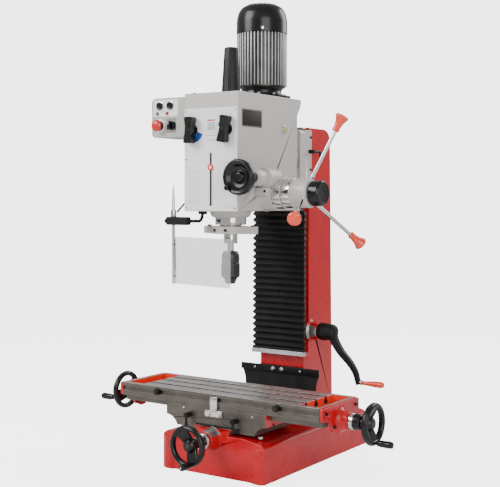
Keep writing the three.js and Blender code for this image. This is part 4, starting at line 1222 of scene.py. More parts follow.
    def build_print(self, face):
        """Ruled panels of plain lines, with no words."""
        groups = [("speed_table_lines", -92, [(988 - 10 * k) for k in range(9)], 58, 0.5),
            ("speed_table_head", -92, [1004], 48, 0.9), ("lower_left_lines", -88, [912, 905], 46, 0.5),
            ("right_lines", 52, [1034, 1022, 1010], 34, 1.1), ("lower_right_lines", 50, [897, 890], 44,
            0.5), ("title_lines", -16, [1122, 1108], 48, 1.6)]
        for name, x, heights, reach, thick in groups:
            bm = bmesh.new()
            block(bm, (x * MM, -0.08 * MM, -thick * MM), ((x + reach) * MM, 0.1 * MM, thick * MM), 0)
            spots = [(0, face, z * MM) for z in heights]
            fasten(name, bm, "pale_ink", spots, "head_front_plate")
        badge = bmesh.new()
        block(badge, (-20 * MM, face - 0.3 * MM, 1133 * MM), (26 * MM, face + 0.1 * MM, 1178 * MM),
            0.2 * MM)
        block(badge, (-12 * MM, face - 0.6 * MM, 1140 * MM), (18 * MM, face - 0.2 * MM, 1166 * MM),
            0.2 * MM, 1)
        block(badge, (-12 * MM, face - 0.6 * MM, 1169 * MM), (18 * MM, face - 0.2 * MM, 1174 * MM),
            0.2 * MM, 2)
        trim(made("blank_badge", badge, FINISH["white"], FINISH["pale_ink"], FINISH["red_ink"]),
            "head_front_plate")
        dot = bmesh.new()
        lathe(dot, (0, 0, 0), UP, scaled([(0, 0), (0, 1.3), (0.16, 1.3), (0.16, 0)]), 0, 16)
        spots = []
        for x in (AT["speed_lever_left"].mid.x / MM, AT["speed_lever_right"].mid.x / MM):
            for degrees in (35, 90, 145):
                angle = math.radians(degrees)
                spots.append(((x + 52 * math.cos(angle)) * MM, face + 0.05 * MM,
                    (1146 + 50 * math.sin(angle)) * MM))
        spots = [spot for spot in spots if spot[2] < PLATE.hi.z - 3 * MM and abs(spot[0]) < 104 * MM]
        fasten("speed_position_dots", dot, "ink", spots, "head_front_plate", QUARTER_FRONT)

    def build_side_fittings(self, half):
        """A blank rating plate, an oil sight glass and plugs on the head's sides."""
        plate_front, plate_back = -338 * MM, -221 * MM
        bm = bmesh.new()
        block(bm, (half - 0.2 * MM, plate_front, 1150 * MM), (half + 0.9 * MM, plate_back, 1208 * MM),
            0.3 * MM)
        block(bm, (half + 0.7 * MM, plate_front + 4 * MM, 1154 * MM),
            (half + 1.2 * MM, plate_back - 4 * MM, 1204 * MM), 0.15 * MM, 1)
        trim(made("rating_plate", bm, FINISH["ink"], FINISH["brown"]), "head_casting")
        rivets = [(half + 0.7 * MM, y, z) for y in (plate_front + 3 * MM,
            plate_back - 3 * MM) for z in (1153 * MM, 1205 * MM)]
        fasten("rating_plate_rivets", screw(1.6 * MM, 1 * MM, False), "plated", rivets,
            "head_casting", QUARTER_RIGHT)
        sight = (half, SPINDLE.y + 162 * MM, 1151 * MM)
        glass = bmesh.new()
        lathe(glass, sight, RIGHT_SIDE, scaled([(-0.5, 0), (-0.5, 16), (3.4, 16), (4.6, 14.5), (4.6, 11),
            (2, 10.6), (2, 0)]), 0.5 * MM, 64)
        lathe(glass, sight, RIGHT_SIDE, scaled([(0, 0), (0, 10.8), (2.8, 10.6), (3.1, 0)]), 0.4 * MM, 48,
            index=1)
        trim(made("oil_sight_glass", glass, FINISH["plated"], FINISH["oil"]), "head_casting")
        plugs = [(-half + 0.3 * MM, SPINDLE.y + 150 * MM, 905 * MM),
            (-half + 0.3 * MM, SPINDLE.y + 150 * MM, 1225 * MM)]
        fasten("head_plugs", hex_bolt(8 * MM, 6 * MM), "plated", plugs, "head_casting",
            -QUARTER_RIGHT)
        eye = [(x, y, HEAD.hi.z - 0.3 * MM) for x in (-86 * MM, 86 * MM) for y in (HEAD.lo.y + 24 * MM,
            -20 * MM)]
        fasten("head_cover_screws", screw(5.5 * MM, 5 * MM), "dark_steel", eye, "head_casting")
        clip = bmesh.new()
        y0 = SPINDLE.y + 4 * MM
        block(clip, (108 * MM, y0 - 20 * MM, 930 * MM), (150 * MM, y0 + 10 * MM, 954 * MM), 2.2 * MM)
        rod(clip, (146 * MM, y0 - 19.6 * MM, 942 * MM), (146 * MM, y0 - 21.5 * MM, 942 * MM), 4.5 * MM,
            0.3 * MM, 32, 1)
        trim(made("feed_clip", clip, FINISH["grey"], FINISH["satin"]), "head_casting")


# ---------------------------------------------------------------- motor

class MILL_OT_motor(PieceOperator, bpy.types.Operator):
    """Build the motor: flange, finned body, fan cover, bolts and drawbar cover"""

    bl_idname = "mill.motor"
    bl_label = "Motor"

    def execute(self, context):
        body = AT["motor_body"]
        x, y, bottom, top = body.mid.x, body.mid.y, body.lo.z, body.hi.z
        reach = body.hi.x
        count = sizes().fins
        seat = bmesh.new()
        lathe(seat, (x, y, bottom), UP, scaled([(0, 0), (0, 77), (12, 77), (14, 70), (27, 68), (39, 76),
            (39, 0)]), 1.5 * MM, 96)
        block(seat, (20 * MM, y - 30 * MM, bottom), (84 * MM, y + 30 * MM, bottom + 15 * MM), 3 * MM)
        trim(made("motor_flange", seat, FINISH["black"]), "motor_body")
        # The core between the fins is blacked steel, darker than the silver fins: painted shade in the gaps
        # between the fins.
        core = bmesh.new()
        lathe(core, (x, y, bottom + 39 * MM), UP, [(0, 0), (0, 81 * MM), (top - bottom - 39 * MM, 81 * MM),
            (top - bottom - 39 * MM, 0)], 1 * MM, 96)
        show(made("motor_core", core, FINISH["dark_steel"]), "motor_alloy", "motor_body")
        fin = bmesh.new()
        block(fin, (79 * MM, -1.5 * MM, bottom + 43 * MM), (reach - 0.2 * MM, 1.5 * MM, top), 0.9 * MM)
        fins = repeated("motor_fins", "round", fin, FINISH["alloy"], Count=count,
            **{"Step angle": 2 * math.pi / count}, Centre=Vector((x, y, 0)))
        trim(fins, "motor_body")
        bolt = repeated("motor_flange_bolts", "spots", hex_bolt(6.5 * MM, 7 * MM), FINISH["plated"],
            [(x + 70.5 * MM * math.cos(a), y + 70.5 * MM * math.sin(a),
            bottom + 11.5 * MM) for a in [math.radians(d) for d in (-110, -65, -20, 70, 115, 160, 205)]])
        trim(bolt, "motor_body")
        lug = repeated("motor_lug_bolt", "spots", hex_bolt(8 * MM, 10 * MM), FINISH["dark_steel"],
            [(78 * MM, y - 8 * MM, HEAD.hi.z - 0.2 * MM), (92 * MM, y + 26 * MM, HEAD.hi.z - 0.2 * MM)])
        trim(lug, "head_casting")
        self.build_terminal_box(x, y)
        self.build_fan_cover()
        self.build_drawbar_cover()
        return {"FINISHED"}

    def build_terminal_box(self, x, y):
        """A low black terminal box sits on the back of the motor."""
        body = AT["motor_body"]
        back = body.hi.y
        bm = bmesh.new()
        block(bm, (x - 30 * MM, back - 12 * MM, 1345 * MM), (x + 30 * MM, back - 0.4 * MM, 1425 * MM),
            3 * MM)
        trim(made("motor_terminal_lid", bm, FINISH["satin"]), "motor_body")

    def build_fan_cover(self):
        """The black cover is drawn in at the top, with slots for the fan's air."""
        place = AT["motor_fan_cover"]
        x, y, low, high = place.mid.x, place.mid.y, place.lo.z, place.hi.z
        height = high - low
        bm = bmesh.new()
        profile = [(0, 88.3), (48, 87.9), (74, 81.8), (91, 69.8), (101, 49.8), (height / MM - 0.2, 0)]
        lathe(bm, (x, y, low), UP, scaled(profile), 9 * MM, 128)
        show(made("fan_cover", bm, FINISH["black"]), "black_enamel", "motor_fan_cover")
        vent = bmesh.new()
        block(vent, (24 * MM, -1.6 * MM, -0.6 * MM), (50 * MM, 1.6 * MM, 0.1 * MM), 0.5 * MM)
        trim(repeated("fan_cover_ribs", "round", vent, FINISH["satin"], Count=24,
            **{"Step angle": math.radians(15)}, Centre=Vector((x, y, high - 1.9 * MM))),
            "motor_fan_cover")
        spots = []
        for degrees in (-56, 64, 184):
            angle = math.radians(degrees)
            spots.append((x + 88.0 * MM * math.cos(angle), y + 88.0 * MM * math.sin(angle), low + 12 * MM))
        for k, (sx, sy, sz) in enumerate(spots):
            bm = bmesh.new()
            out = Vector((sx - x, sy - y, 0)).normalized()
            lathe(bm, Vector((sx, sy, sz)) - out * 3 * MM, out,
                scaled([(0, 0), (0, 6), (4.6, 5.4), (5.2, 0)]), 0.4 * MM, 32)
            trim(made(f"fan_cover_screw_{k + 1}", bm, FINISH["plated"]), "motor_fan_cover")

    def build_drawbar_cover(self):
        """A tapered cover with fine flutes stands over the drawbar."""
        place = AT["drawbar_cover"]
        height = place.size.z
        wide, narrow = place.hi.x - place.mid.x, 20.5 * MM
        sides, flutes = 144, 36
        bm = bmesh.new()
        rings = []
        levels = [(0, wide), (2 * MM, wide), (height * 0.5, (wide + narrow) / 2 + 1 * MM),
            (height - 6 * MM, narrow + 2.4 * MM), (height - 2 * MM, narrow + 1.2 * MM),
            (height, narrow - 1.4 * MM)]
        for z, radius in levels:
            ring = []
            for i in range(sides):
                angle = 2 * math.pi * i / sides
                fluted = 1 * MM < z < height - 1 * MM
                dip = 0.55 * MM * (0.5 + 0.5 * math.cos(flutes * angle)) if fluted else 0
                r = radius - dip
                ring.append(bm.verts.new((place.mid.x + r * math.cos(angle),
                    place.mid.y + r * math.sin(angle), place.lo.z + z)))
            rings.append(ring)
        for below, above in zip(rings, rings[1:]):
            bridge(bm, below, above, 0)
        bm.faces.new(rings[0])
        bm.faces.new(rings[-1])
        show(made("drawbar_cap", bm, FINISH["moulded"]), "black_plastic", "drawbar_cover")


# ---------------------------------------------------------------- quill, spindle and chuck

class MILL_OT_spindle(PieceOperator, bpy.types.Operator):
    """Build the quill, its depth ring, the spindle and the drill chuck"""

    bl_idname = "mill.spindle"
    bl_label = "Spindle"

    def execute(self, context):
        x, y = SPINDLE.x, SPINDLE.y
        quill = AT["quill"]
        bm = bmesh.new()
        length = quill.size.z / MM
        lathe(bm, (x, y, quill.lo.z), UP, scaled([(0, 22), (0, 37), (length, 37), (length, 22)]), 0.8 * MM,
            96, closed=True)
        show(made("quill_sleeve", bm, FINISH["plated"]), "steel", "quill")
        self.build_ring(x, y)
        profile = [(0, 0), (0, 11), (25, 11), (25, 23), (57, 23), (57, 20), (292, 20), (292, 13), (508, 13),
            (508, 0)]
        bm = bmesh.new()
        lathe(bm, (x, y, AT["spindle"].lo.z), UP, scaled(profile), 0.6 * MM, 64)
        show(made("spindle_bar", bm, FINISH["plated"]), "steel", "spindle")
        self.build_chuck(x, y)
        return {"FINISHED"}

    def build_ring(self, x, y):
        """The depth ring clamps the quill: a round body with two ears."""
        ring = AT["quill_depth_ring"]
        bm = bmesh.new()
        prism(bm, "z", rounded_rect(ring.lo.x, ring.hi.x, y - 18 * MM, y + 18 * MM, 12 * MM), ring.lo.z,
            ring.hi.z)
        obj = made("depth_ring", bm, FINISH["grey"])
        booleans(obj, [("UNION", lambda bm: rod(bm, (x, y, ring.lo.z), (x, y, ring.hi.z), 64 * MM, 0, 96)),
            ("DIFFERENCE", lambda bm: rod(bm, (x, y, ring.lo.z - MM), (x, y, ring.hi.z + MM), 24 * MM, 0,
            96))])
        round_edges(obj, 1.6 * MM)
        show(obj, "grey_enamel", "quill_depth_ring")
        middle = (ring.lo.z + ring.hi.z) / 2
        spots = [(x + side * 22 * MM, y - 60 * MM, middle) for side in (-1, 1)]
        fasten("depth_ring_screws", screw(5 * MM, 5 * MM), "dark_steel", spots, "quill_depth_ring",
            QUARTER_FRONT)
        ends = [(x + side * 88 * MM, y, ring.hi.z - 0.3 * MM) for side in (-1, 1)]
        fasten("depth_ring_nuts", hex_bolt(6.5 * MM, 5 * MM), "dark_steel", ends,
            "quill_depth_ring")

    def build_chuck(self, x, y):
        """A keyed chuck: knurled sleeve, plain body and three jaws in the mouth."""
        chuck = AT["drill_chuck"]
        outline = [(0, 7), (0, 15), (18, 22), (24, 30.8), (68, 30.8), (70, 28.8), (98, 28.8), (109, 24),
            (109.6, 11.3), (109.6, 7)]
        bm = bmesh.new()
        lathe(bm, (x, y, chuck.lo.z), UP, scaled(outline), 0.8 * MM, 96, closed=True)
        show(made("chuck_body", bm, FINISH["dark_steel"]), "black_enamel", "drill_chuck")
        ridge = bmesh.new()
        block(ridge, (30.2 * MM, -0.65 * MM, chuck.lo.z + 26 * MM),
            (31.45 * MM, 0.65 * MM, chuck.lo.z + 66 * MM), 0.4 * MM)
        trim(repeated("chuck_ribs", "round", ridge, FINISH["dark_steel"], Count=60,
            **{"Step angle": math.radians(6)}, Centre=Vector((x, y, 0))), "drill_chuck")
        band = bmesh.new()
        rings = [(71, 29), (71, 29.3), (96, 29.3), (96, 29)]
        lathe(band, (x, y, chuck.lo.z), UP, scaled(rings), 0.2 * MM, 96, closed=True)
        trim(made("chuck_band", band, FINISH["dark_steel"]), "drill_chuck")
        jaw = bmesh.new()
        block(jaw, (1.4 * MM, -2.6 * MM, chuck.lo.z + 0.4 * MM), (6.9 * MM, 2.6 * MM, chuck.lo.z + 30 * MM),
            0.5 * MM)
        trim(repeated("chuck_jaws", "round", jaw, FINISH["plated"], Count=3,
            **{"Step angle": math.radians(120)}, Centre=Vector((x, y, 0))), "drill_chuck")
        # Black discs at the three key holes, in the rubber finish: painted shade inside the holes.
        hole = bmesh.new()
        lathe(hole, (30.2 * MM, 0, 0), RIGHT_SIDE, scaled([(0, 0), (0, 3.4), (0.9, 3.4), (0.9, 0)]), 0, 24)
        trim(repeated("chuck_key_holes", "round", hole, FINISH["rubber"], Count=3,
            **{"Step angle": math.radians(120), "First angle": math.radians(-70)},
            Centre=Vector((x, y, chuck.lo.z + 83 * MM))), "drill_chuck")


# ---------------------------------------------------------------- quill feed

SPOKES = (("upper", 78), ("rear", -42), ("front", 198))


def along_spoke(degrees, radius):
    """A point on a feed spoke, at a distance in millimetres from the pinion's axis."""
    angle = math.radians(degrees)
    lean = (252 + 109 * radius / 250) * MM
    return Vector((lean, PINION.y + radius * MM * math.cos(angle),
        PINION.z + radius * MM * math.sin(angle)))


class MILL_OT_feed(PieceOperator, bpy.types.Operator):
    """Build the quill feed: pinion, scale rings, hub, clutch knob, spokes and knobs"""

    bl_idname = "mill.feed"
    bl_label = "Quill feed"

    def execute(self, context):
        def at(x):
            return (x * MM, PINION.y, PINION.z)

        bm = bmesh.new()
        profile = [(0, 0), (0, 13), (71, 13), (71, 19), (97, 19), (97, 13), (384, 13), (384, 0)]
        lathe(bm, at(-84), RIGHT_SIDE, scaled(profile), 0.6 * MM, 48)
        show(made("pinion", bm, FINISH["steel"]), "steel", "pinion_shaft")
        bm = bmesh.new()
        lathe(bm, at(151.6), RIGHT_SIDE, scaled([(0, 50.4), (0, 51.6), (34.8, 51.6), (34.8, 50.4)]),
            0.5 * MM, 128, closed=True)
        trim(made("feed_scale_ring", bm, FINISH["plated"]), "head_casting")
        self.build_marks("feed_scale_marks", 153.5, 9, 51.6, 72, "head_casting")
        bm = bmesh.new()
        lathe(bm, at(187.5), RIGHT_SIDE, scaled([(0, 13.3), (0, 45.5), (2, 48.8), (33, 48.8), (35, 46),
            (35, 13.3)]), 0.8 * MM, 128, closed=True)
        lathe(bm, at(222.4), RIGHT_SIDE, scaled([(0, 13.3), (0, 48.2), (54, 48.2), (59.4, 43),
            (59.4, 13.3)]), 2 * MM, 96, closed=True, index=1)
        show(made("feed_dial_and_hub", bm, FINISH["plated"], FINISH["grey"]), "grey_enamel", "feed_hub")
        self.build_marks("feed_dial_marks", 190, 7, 48.8, 100, "feed_hub")
        profile = [(0, 13.3), (0, 33.4), (6.7, 41.8), (37.7, 41.8), (43.7, 36.6), (41.5, 28), (40.5, 0),
            (18.3, 0), (18.3, 13.3)]
        bm = bmesh.new()
        lathe(bm, at(282.4), RIGHT_SIDE, scaled(profile), 2.4 * MM, 96, closed=True)
        show(made("clutch_knob", bm, FINISH["plastic"]), "black_plastic", "feed_clutch_knob")
        for name, degrees in SPOKES:
            self.build_spoke(name, degrees)
        return {"FINISHED"}

    def build_marks(self, name, x, reach, radius, count, node):
        """Fine marks round a polished ring."""
        tick = bmesh.new()
        block(tick, ((radius - 0.3) * MM, -0.18 * MM, 0), ((radius + 0.05) * MM, 0.18 * MM, reach * MM), 0)
        trim(repeated(name, "round", tick, FINISH["ink"], Count=count,
            **{"Step angle": 2 * math.pi / count}, Turn=QUARTER_RIGHT,
            Centre=Vector((x * MM, PINION.y, PINION.z))), node)

    def build_spoke(self, name, degrees):
        start, end = along_spoke(degrees, 29), along_spoke(degrees, 232)
        bm = bmesh.new()
        rod(bm, start, end, 6.4 * MM, 0.8 * MM, 40)
        collar = along_spoke(degrees, 52)
        rod(bm, collar, collar + (end - start).normalized() * 9 * MM, 8.2 * MM, 0.8 * MM, 40)
        show(made(f"spoke_{name}", bm, FINISH["plated"]), "steel", f"feed_spoke_{name}")
        foot = along_spoke(degrees, 204)
        profile = [(0.5, 0), (0.5, 11), (4, 11.6), (18, 11.8), (32, 14), (43, 18.5), (50, 22), (54, 22.2),
            (58.5, 17), (59.6, 0)]
        bm = bmesh.new()
        lathe(bm, foot, end - start, scaled(profile), 3 * MM, 64)
        show(made(f"knob_{name}", bm, FINISH["orange"]), "orange_plastic", f"feed_knob_{name}")


class MILL_OT_fine_feed(PieceOperator, bpy.types.Operator):
    """Build the fine feed: dial, dished wheel and its small handle"""

    bl_idname = "mill.fine_feed"
    bl_label = "Fine feed"

    def execute(self, context):
        wheel = AT["fine_feed_wheel"]
        x, y, z = wheel.mid.x, SPINDLE.y, wheel.mid.z
        bm = bmesh.new()
        lathe(bm, (x, y, z), FRONT, scaled([(-36, 0), (-36, 8), (10.4, 8), (10.4, 26), (24, 26), (24, 22.5),
            (30, 22.5), (30, 26.8), (69, 26.8), (70, 22), (70, 0)]), 0.6 * MM, 80)
        profile = [(69, 0), (69, 20), (119, 20), (128, 40), (134, 55), (143, 57.3), (156, 57.3),
            (161.6, 52), (157, 43), (146, 33), (143, 20), (150, 17), (154, 13), (154.5, 0)]
        lathe(bm, (x, y, z), FRONT, scaled(profile), 3 * MM, 96, index=1)
        handle = Vector((x - 34 * MM, y - 148 * MM, z - 34 * MM))
        lathe(bm, handle, FRONT, scaled([(0, 0), (0, 5.5), (4, 5.5), (8, 8), (22, 9), (23.9, 6), (24, 0)]),
            1.2 * MM, 48, index=1)
        show(made("fine_feed", bm, FINISH["grey"], FINISH["black"]), "black_plastic", "fine_feed_wheel")
        tick = bmesh.new()
        block(tick, (26.5 * MM, -0.2 * MM, 0), (26.9 * MM, 0.2 * MM, 7 * MM), 0)
        trim(repeated("fine_feed_marks", "round", tick, FINISH["ink"], Count=60,
            **{"Step angle": math.radians(6)}, Turn=QUARTER_FRONT, Centre=Vector((x, y - 60 * MM, z))),
            "fine_feed_wheel")
        return {"FINISHED"}


# ---------------------------------------------------------------- speed levers and control box

class MILL_OT_controls(PieceOperator, bpy.types.Operator):
    """Build the speed levers with their sector plates, and the control box"""

    bl_idname = "mill.controls"
    bl_label = "Controls"

    def execute(self, context):
        for side, lean, first in (("left", 3, -92), ("right", 9, 88)):
            self.build_lever(side, lean, first)
        self.build_box()
        self.build_buttons()
        return {"FINISHED"}

    def build_lever(self, side, lean, first):
        """A paddle on a stud. The sector plate behind it is fixed to the head."""
        place = AT[f"speed_lever_{side}"]
        x, z = place.mid.x, (place.lo.z + place.hi.z) / 2
        tilt = Matrix.Translation((x, 0, z)) @ Matrix.Rotation(math.radians(lean), 4, "Y") @ \
            Matrix.Translation((-x, 0, -z))
        bm = bmesh.new()
        part = bmesh.new()
        front = place.lo.y
        outline = [(-16, -44), (13, -44), (16.5, -38), (12, -10), (12, 12), (16.5, 40), (13, 44), (-13, 44),
            (-16.5, 38), (-12, 12), (-12, -10), (-16.5, -38)]
        corners = [(x + u * MM, z + v * MM * 0.98) for u, v in soften(outline, 5, closed=True)]
        prism(part, "y", corners, front + 3 * MM, place.lo.y + 27 * MM)
        bmesh.ops.bevel(part, geom=[e for e in part.edges if e.calc_face_angle(0) > 0.9], offset=2.6 * MM,
            segments=4, profile=0.6, affect="EDGES")
        take_in(bm, part, 0, tilt)
        rod(bm, (x, front + 26 * MM, z), (x, place.hi.y, z), 8 * MM, 0.4 * MM, 40)
        lathe(bm, (x, front + 4 * MM, z), FRONT, scaled([(0, 0), (0, 6), (1.2, 5), (1.4, 0)]), 0.4 * MM, 32,
            index=1)
        show(made(f"speed_paddle_{side}", bm, FINISH["plastic"], FINISH["satin"]), "black_enamel",
            f"speed_lever_{side}")
        sector = bmesh.new()
        inner, outer = 20 * MM, 41 * MM
        arc = [math.radians(first + 74 * k / 12) for k in range(13)]
        corners = [(x + outer * math.cos(a), z + outer * math.sin(a)) for a in arc]
        corners += [(x + inner * math.cos(a), z + inner * math.sin(a)) for a in reversed(arc)]
        prism(sector, "y", corners, PLATE.lo.y - 0.9 * MM, PLATE.lo.y + 0.2 * MM)
        lathe(sector, (x, PLATE.lo.y + 0.1 * MM, z), FRONT, scaled([(0, 0), (0, 19), (2.4, 18), (2.4, 0)]),
            0.8 * MM, 64, index=1)
        trim(made(f"speed_sector_{side}", sector, FINISH["blue"], FINISH["satin"]),
            "head_front_plate")

    def build_box(self):
        box = AT["control_box"]
        face = box.lo.y
        obj = copy_of("control_case", "control_box", FINISH["box"])
        round_edges(obj, 1.4 * MM)
        show(obj, "grey_enamel", "control_box")
        plates = bmesh.new()
        upper = rounded_rect(-254 * MM, -150 * MM, 1192 * MM, 1249 * MM, 3 * MM)
        lower = rounded_rect(-196 * MM, -157 * MM, 1138 * MM, 1186 * MM, 3 * MM)
        prism(plates, "y", upper, face - 0.8 * MM, face + 0.2 * MM)
        prism(plates, "y", lower, face - 0.7 * MM, face + 0.2 * MM, index=1)
        trim(made("control_plates", plates, FINISH["white"], FINISH["plated"]),
            "control_box")
        lamps = bmesh.new()
        for index, x in ((0, -236), (1, -194)):
            at = (x * MM, face - 0.4 * MM, 1203 * MM)
            lathe(lamps, at, FRONT, scaled([(0, 0), (0, 5.6), (3, 5.2), (4.6, 3.4), (5, 0)]), 1.2 * MM, 40,
                index=index)
            lathe(lamps, at, FRONT, scaled([(0, 5.5), (0, 7.8), (2, 7.6), (2, 5.5)]), 0.4 * MM, 40,
                closed=True, index=2)
        trim(made("control_lamps", lamps, FINISH["green_lamp"], FINISH["red_lamp"], FINISH["plated"]),
            "control_box")
        bezels = bmesh.new()
        for node, reach in (("start_button", 16.5), ("stop_button", 16.5)):
            at = (AT[node].mid.x, face, AT[node].mid.z)
            lathe(bezels, at, FRONT, scaled([(0, 12.4), (0, reach), (4, reach - 0.6), (5, 12.8)]), 0.8 * MM,
                64, closed=True)
        at = (AT["emergency_stop"].mid.x, face, AT["emergency_stop"].mid.z)
        lathe(bezels, at, FRONT, scaled([(0, 11.4), (0, 24), (1.4, 24), (1.4, 11.4)]), 0.4 * MM, 72,
            closed=True, index=1)
        lathe(bezels, at, FRONT, scaled([(1.2, 11.4), (1.2, 16.5), (8, 15.5), (8, 11.4)]), 0.6 * MM, 64,
            closed=True, index=2)
        at = (AT["direction_selector"].mid.x, face, AT["direction_selector"].mid.z)
        lathe(bezels, at, FRONT, scaled([(0, 11.4), (0, 17), (3.4, 16.4), (3.4, 11.4)]), 0.6 * MM, 64,
            closed=True, index=2)
        trim(made("control_bezels", bezels, FINISH["plated"], FINISH["white"], FINISH["plastic"]),
            "control_box")
        corners = [(x * MM, face + 0.1 * MM, z * MM) for x in (-255, -115) for z in (1130, 1247)]
        fasten("control_box_screws", screw(3 * MM, 1.6 * MM), "plated", corners, "control_box",
            QUARTER_FRONT)

    def build_buttons(self):
        face = AT["control_box"].lo.y
        domes = {"start_button": ([(-22, 0), (-22, 12), (9, 12), (9.9, 10), (9, 8), (8.8, 0)], "plastic"),
            "stop_button": ([(-22, 0), (-22, 12), (9, 12), (9.9, 10), (9, 8), (8.8, 0)], "plastic"),
            "emergency_stop": ([(-22, 0), (-22, 11), (14, 11), (16, 19.6), (22, 19.6), (27.5, 14),
            (29.8, 0)], "red_plastic")}
        slots = {"plastic": "black_plastic", "red_plastic": "red_plastic"}
        for node, (profile, paint) in domes.items():
            bm = bmesh.new()
            lathe(bm, (AT[node].mid.x, face, AT[node].mid.z), FRONT, scaled(profile), 1.2 * MM, 64)
            show(made(f"{node}_cap", bm, FINISH[paint]), slots[paint], node)
        node = "direction_selector"
        x, z = AT[node].mid.x, AT[node].mid.z
        bm = bmesh.new()
        lathe(bm, (x, face, z), FRONT, scaled([(-22, 0), (-22, 11), (3.6, 11), (3.6, 15), (8, 15),
            (9, 13.5), (9, 0)]), 0.8 * MM, 64)
        block(bm, (x - 4.2 * MM, face - 20.6 * MM, z - 14.6 * MM),
            (x + 4.2 * MM, face - 6 * MM, z + 14.6 * MM), 1.6 * MM)
        block(bm, (x - 0.7 * MM, face - 20.9 * MM, z + 2 * MM), (x + 0.7 * MM, face - 20 * MM, z + 13 * MM),
            0.2 * MM, 1)
        show(made("selector_knob", bm, FINISH["plastic"], FINISH["white"]), "black_plastic", node)


# ---------------------------------------------------------------- handwheels and crank

# Each wheel's own +Z turns outward and its own +X turns to its grip.
WHEELS = {"y": ((0, -1, 0), (0.45, 0, -0.89), (0, -484, 126)),
    "x_right": ((1, 0, 0), None, (525, -216, 216)), "x_left": ((-1, 0, 0), None, (-486, -216, 216))}


def wheel_frame(name):
    """The matrix of a wheel, with the way to its grip read from where the grip lies."""
    outward, to_grip, at = WHEELS[name]
    centre = Vector(at) * MM
    z = Vector(outward)
    grip = AT[f"{name}_handle_grip"].mid - centre if to_grip is None else Vector(to_grip)
    x = (grip - z * grip.dot(z)).normalized()
    y = z.cross(x)
    turn = Matrix((x, y, z)).transposed().to_4x4()
    return Matrix.Translation(centre) @ turn


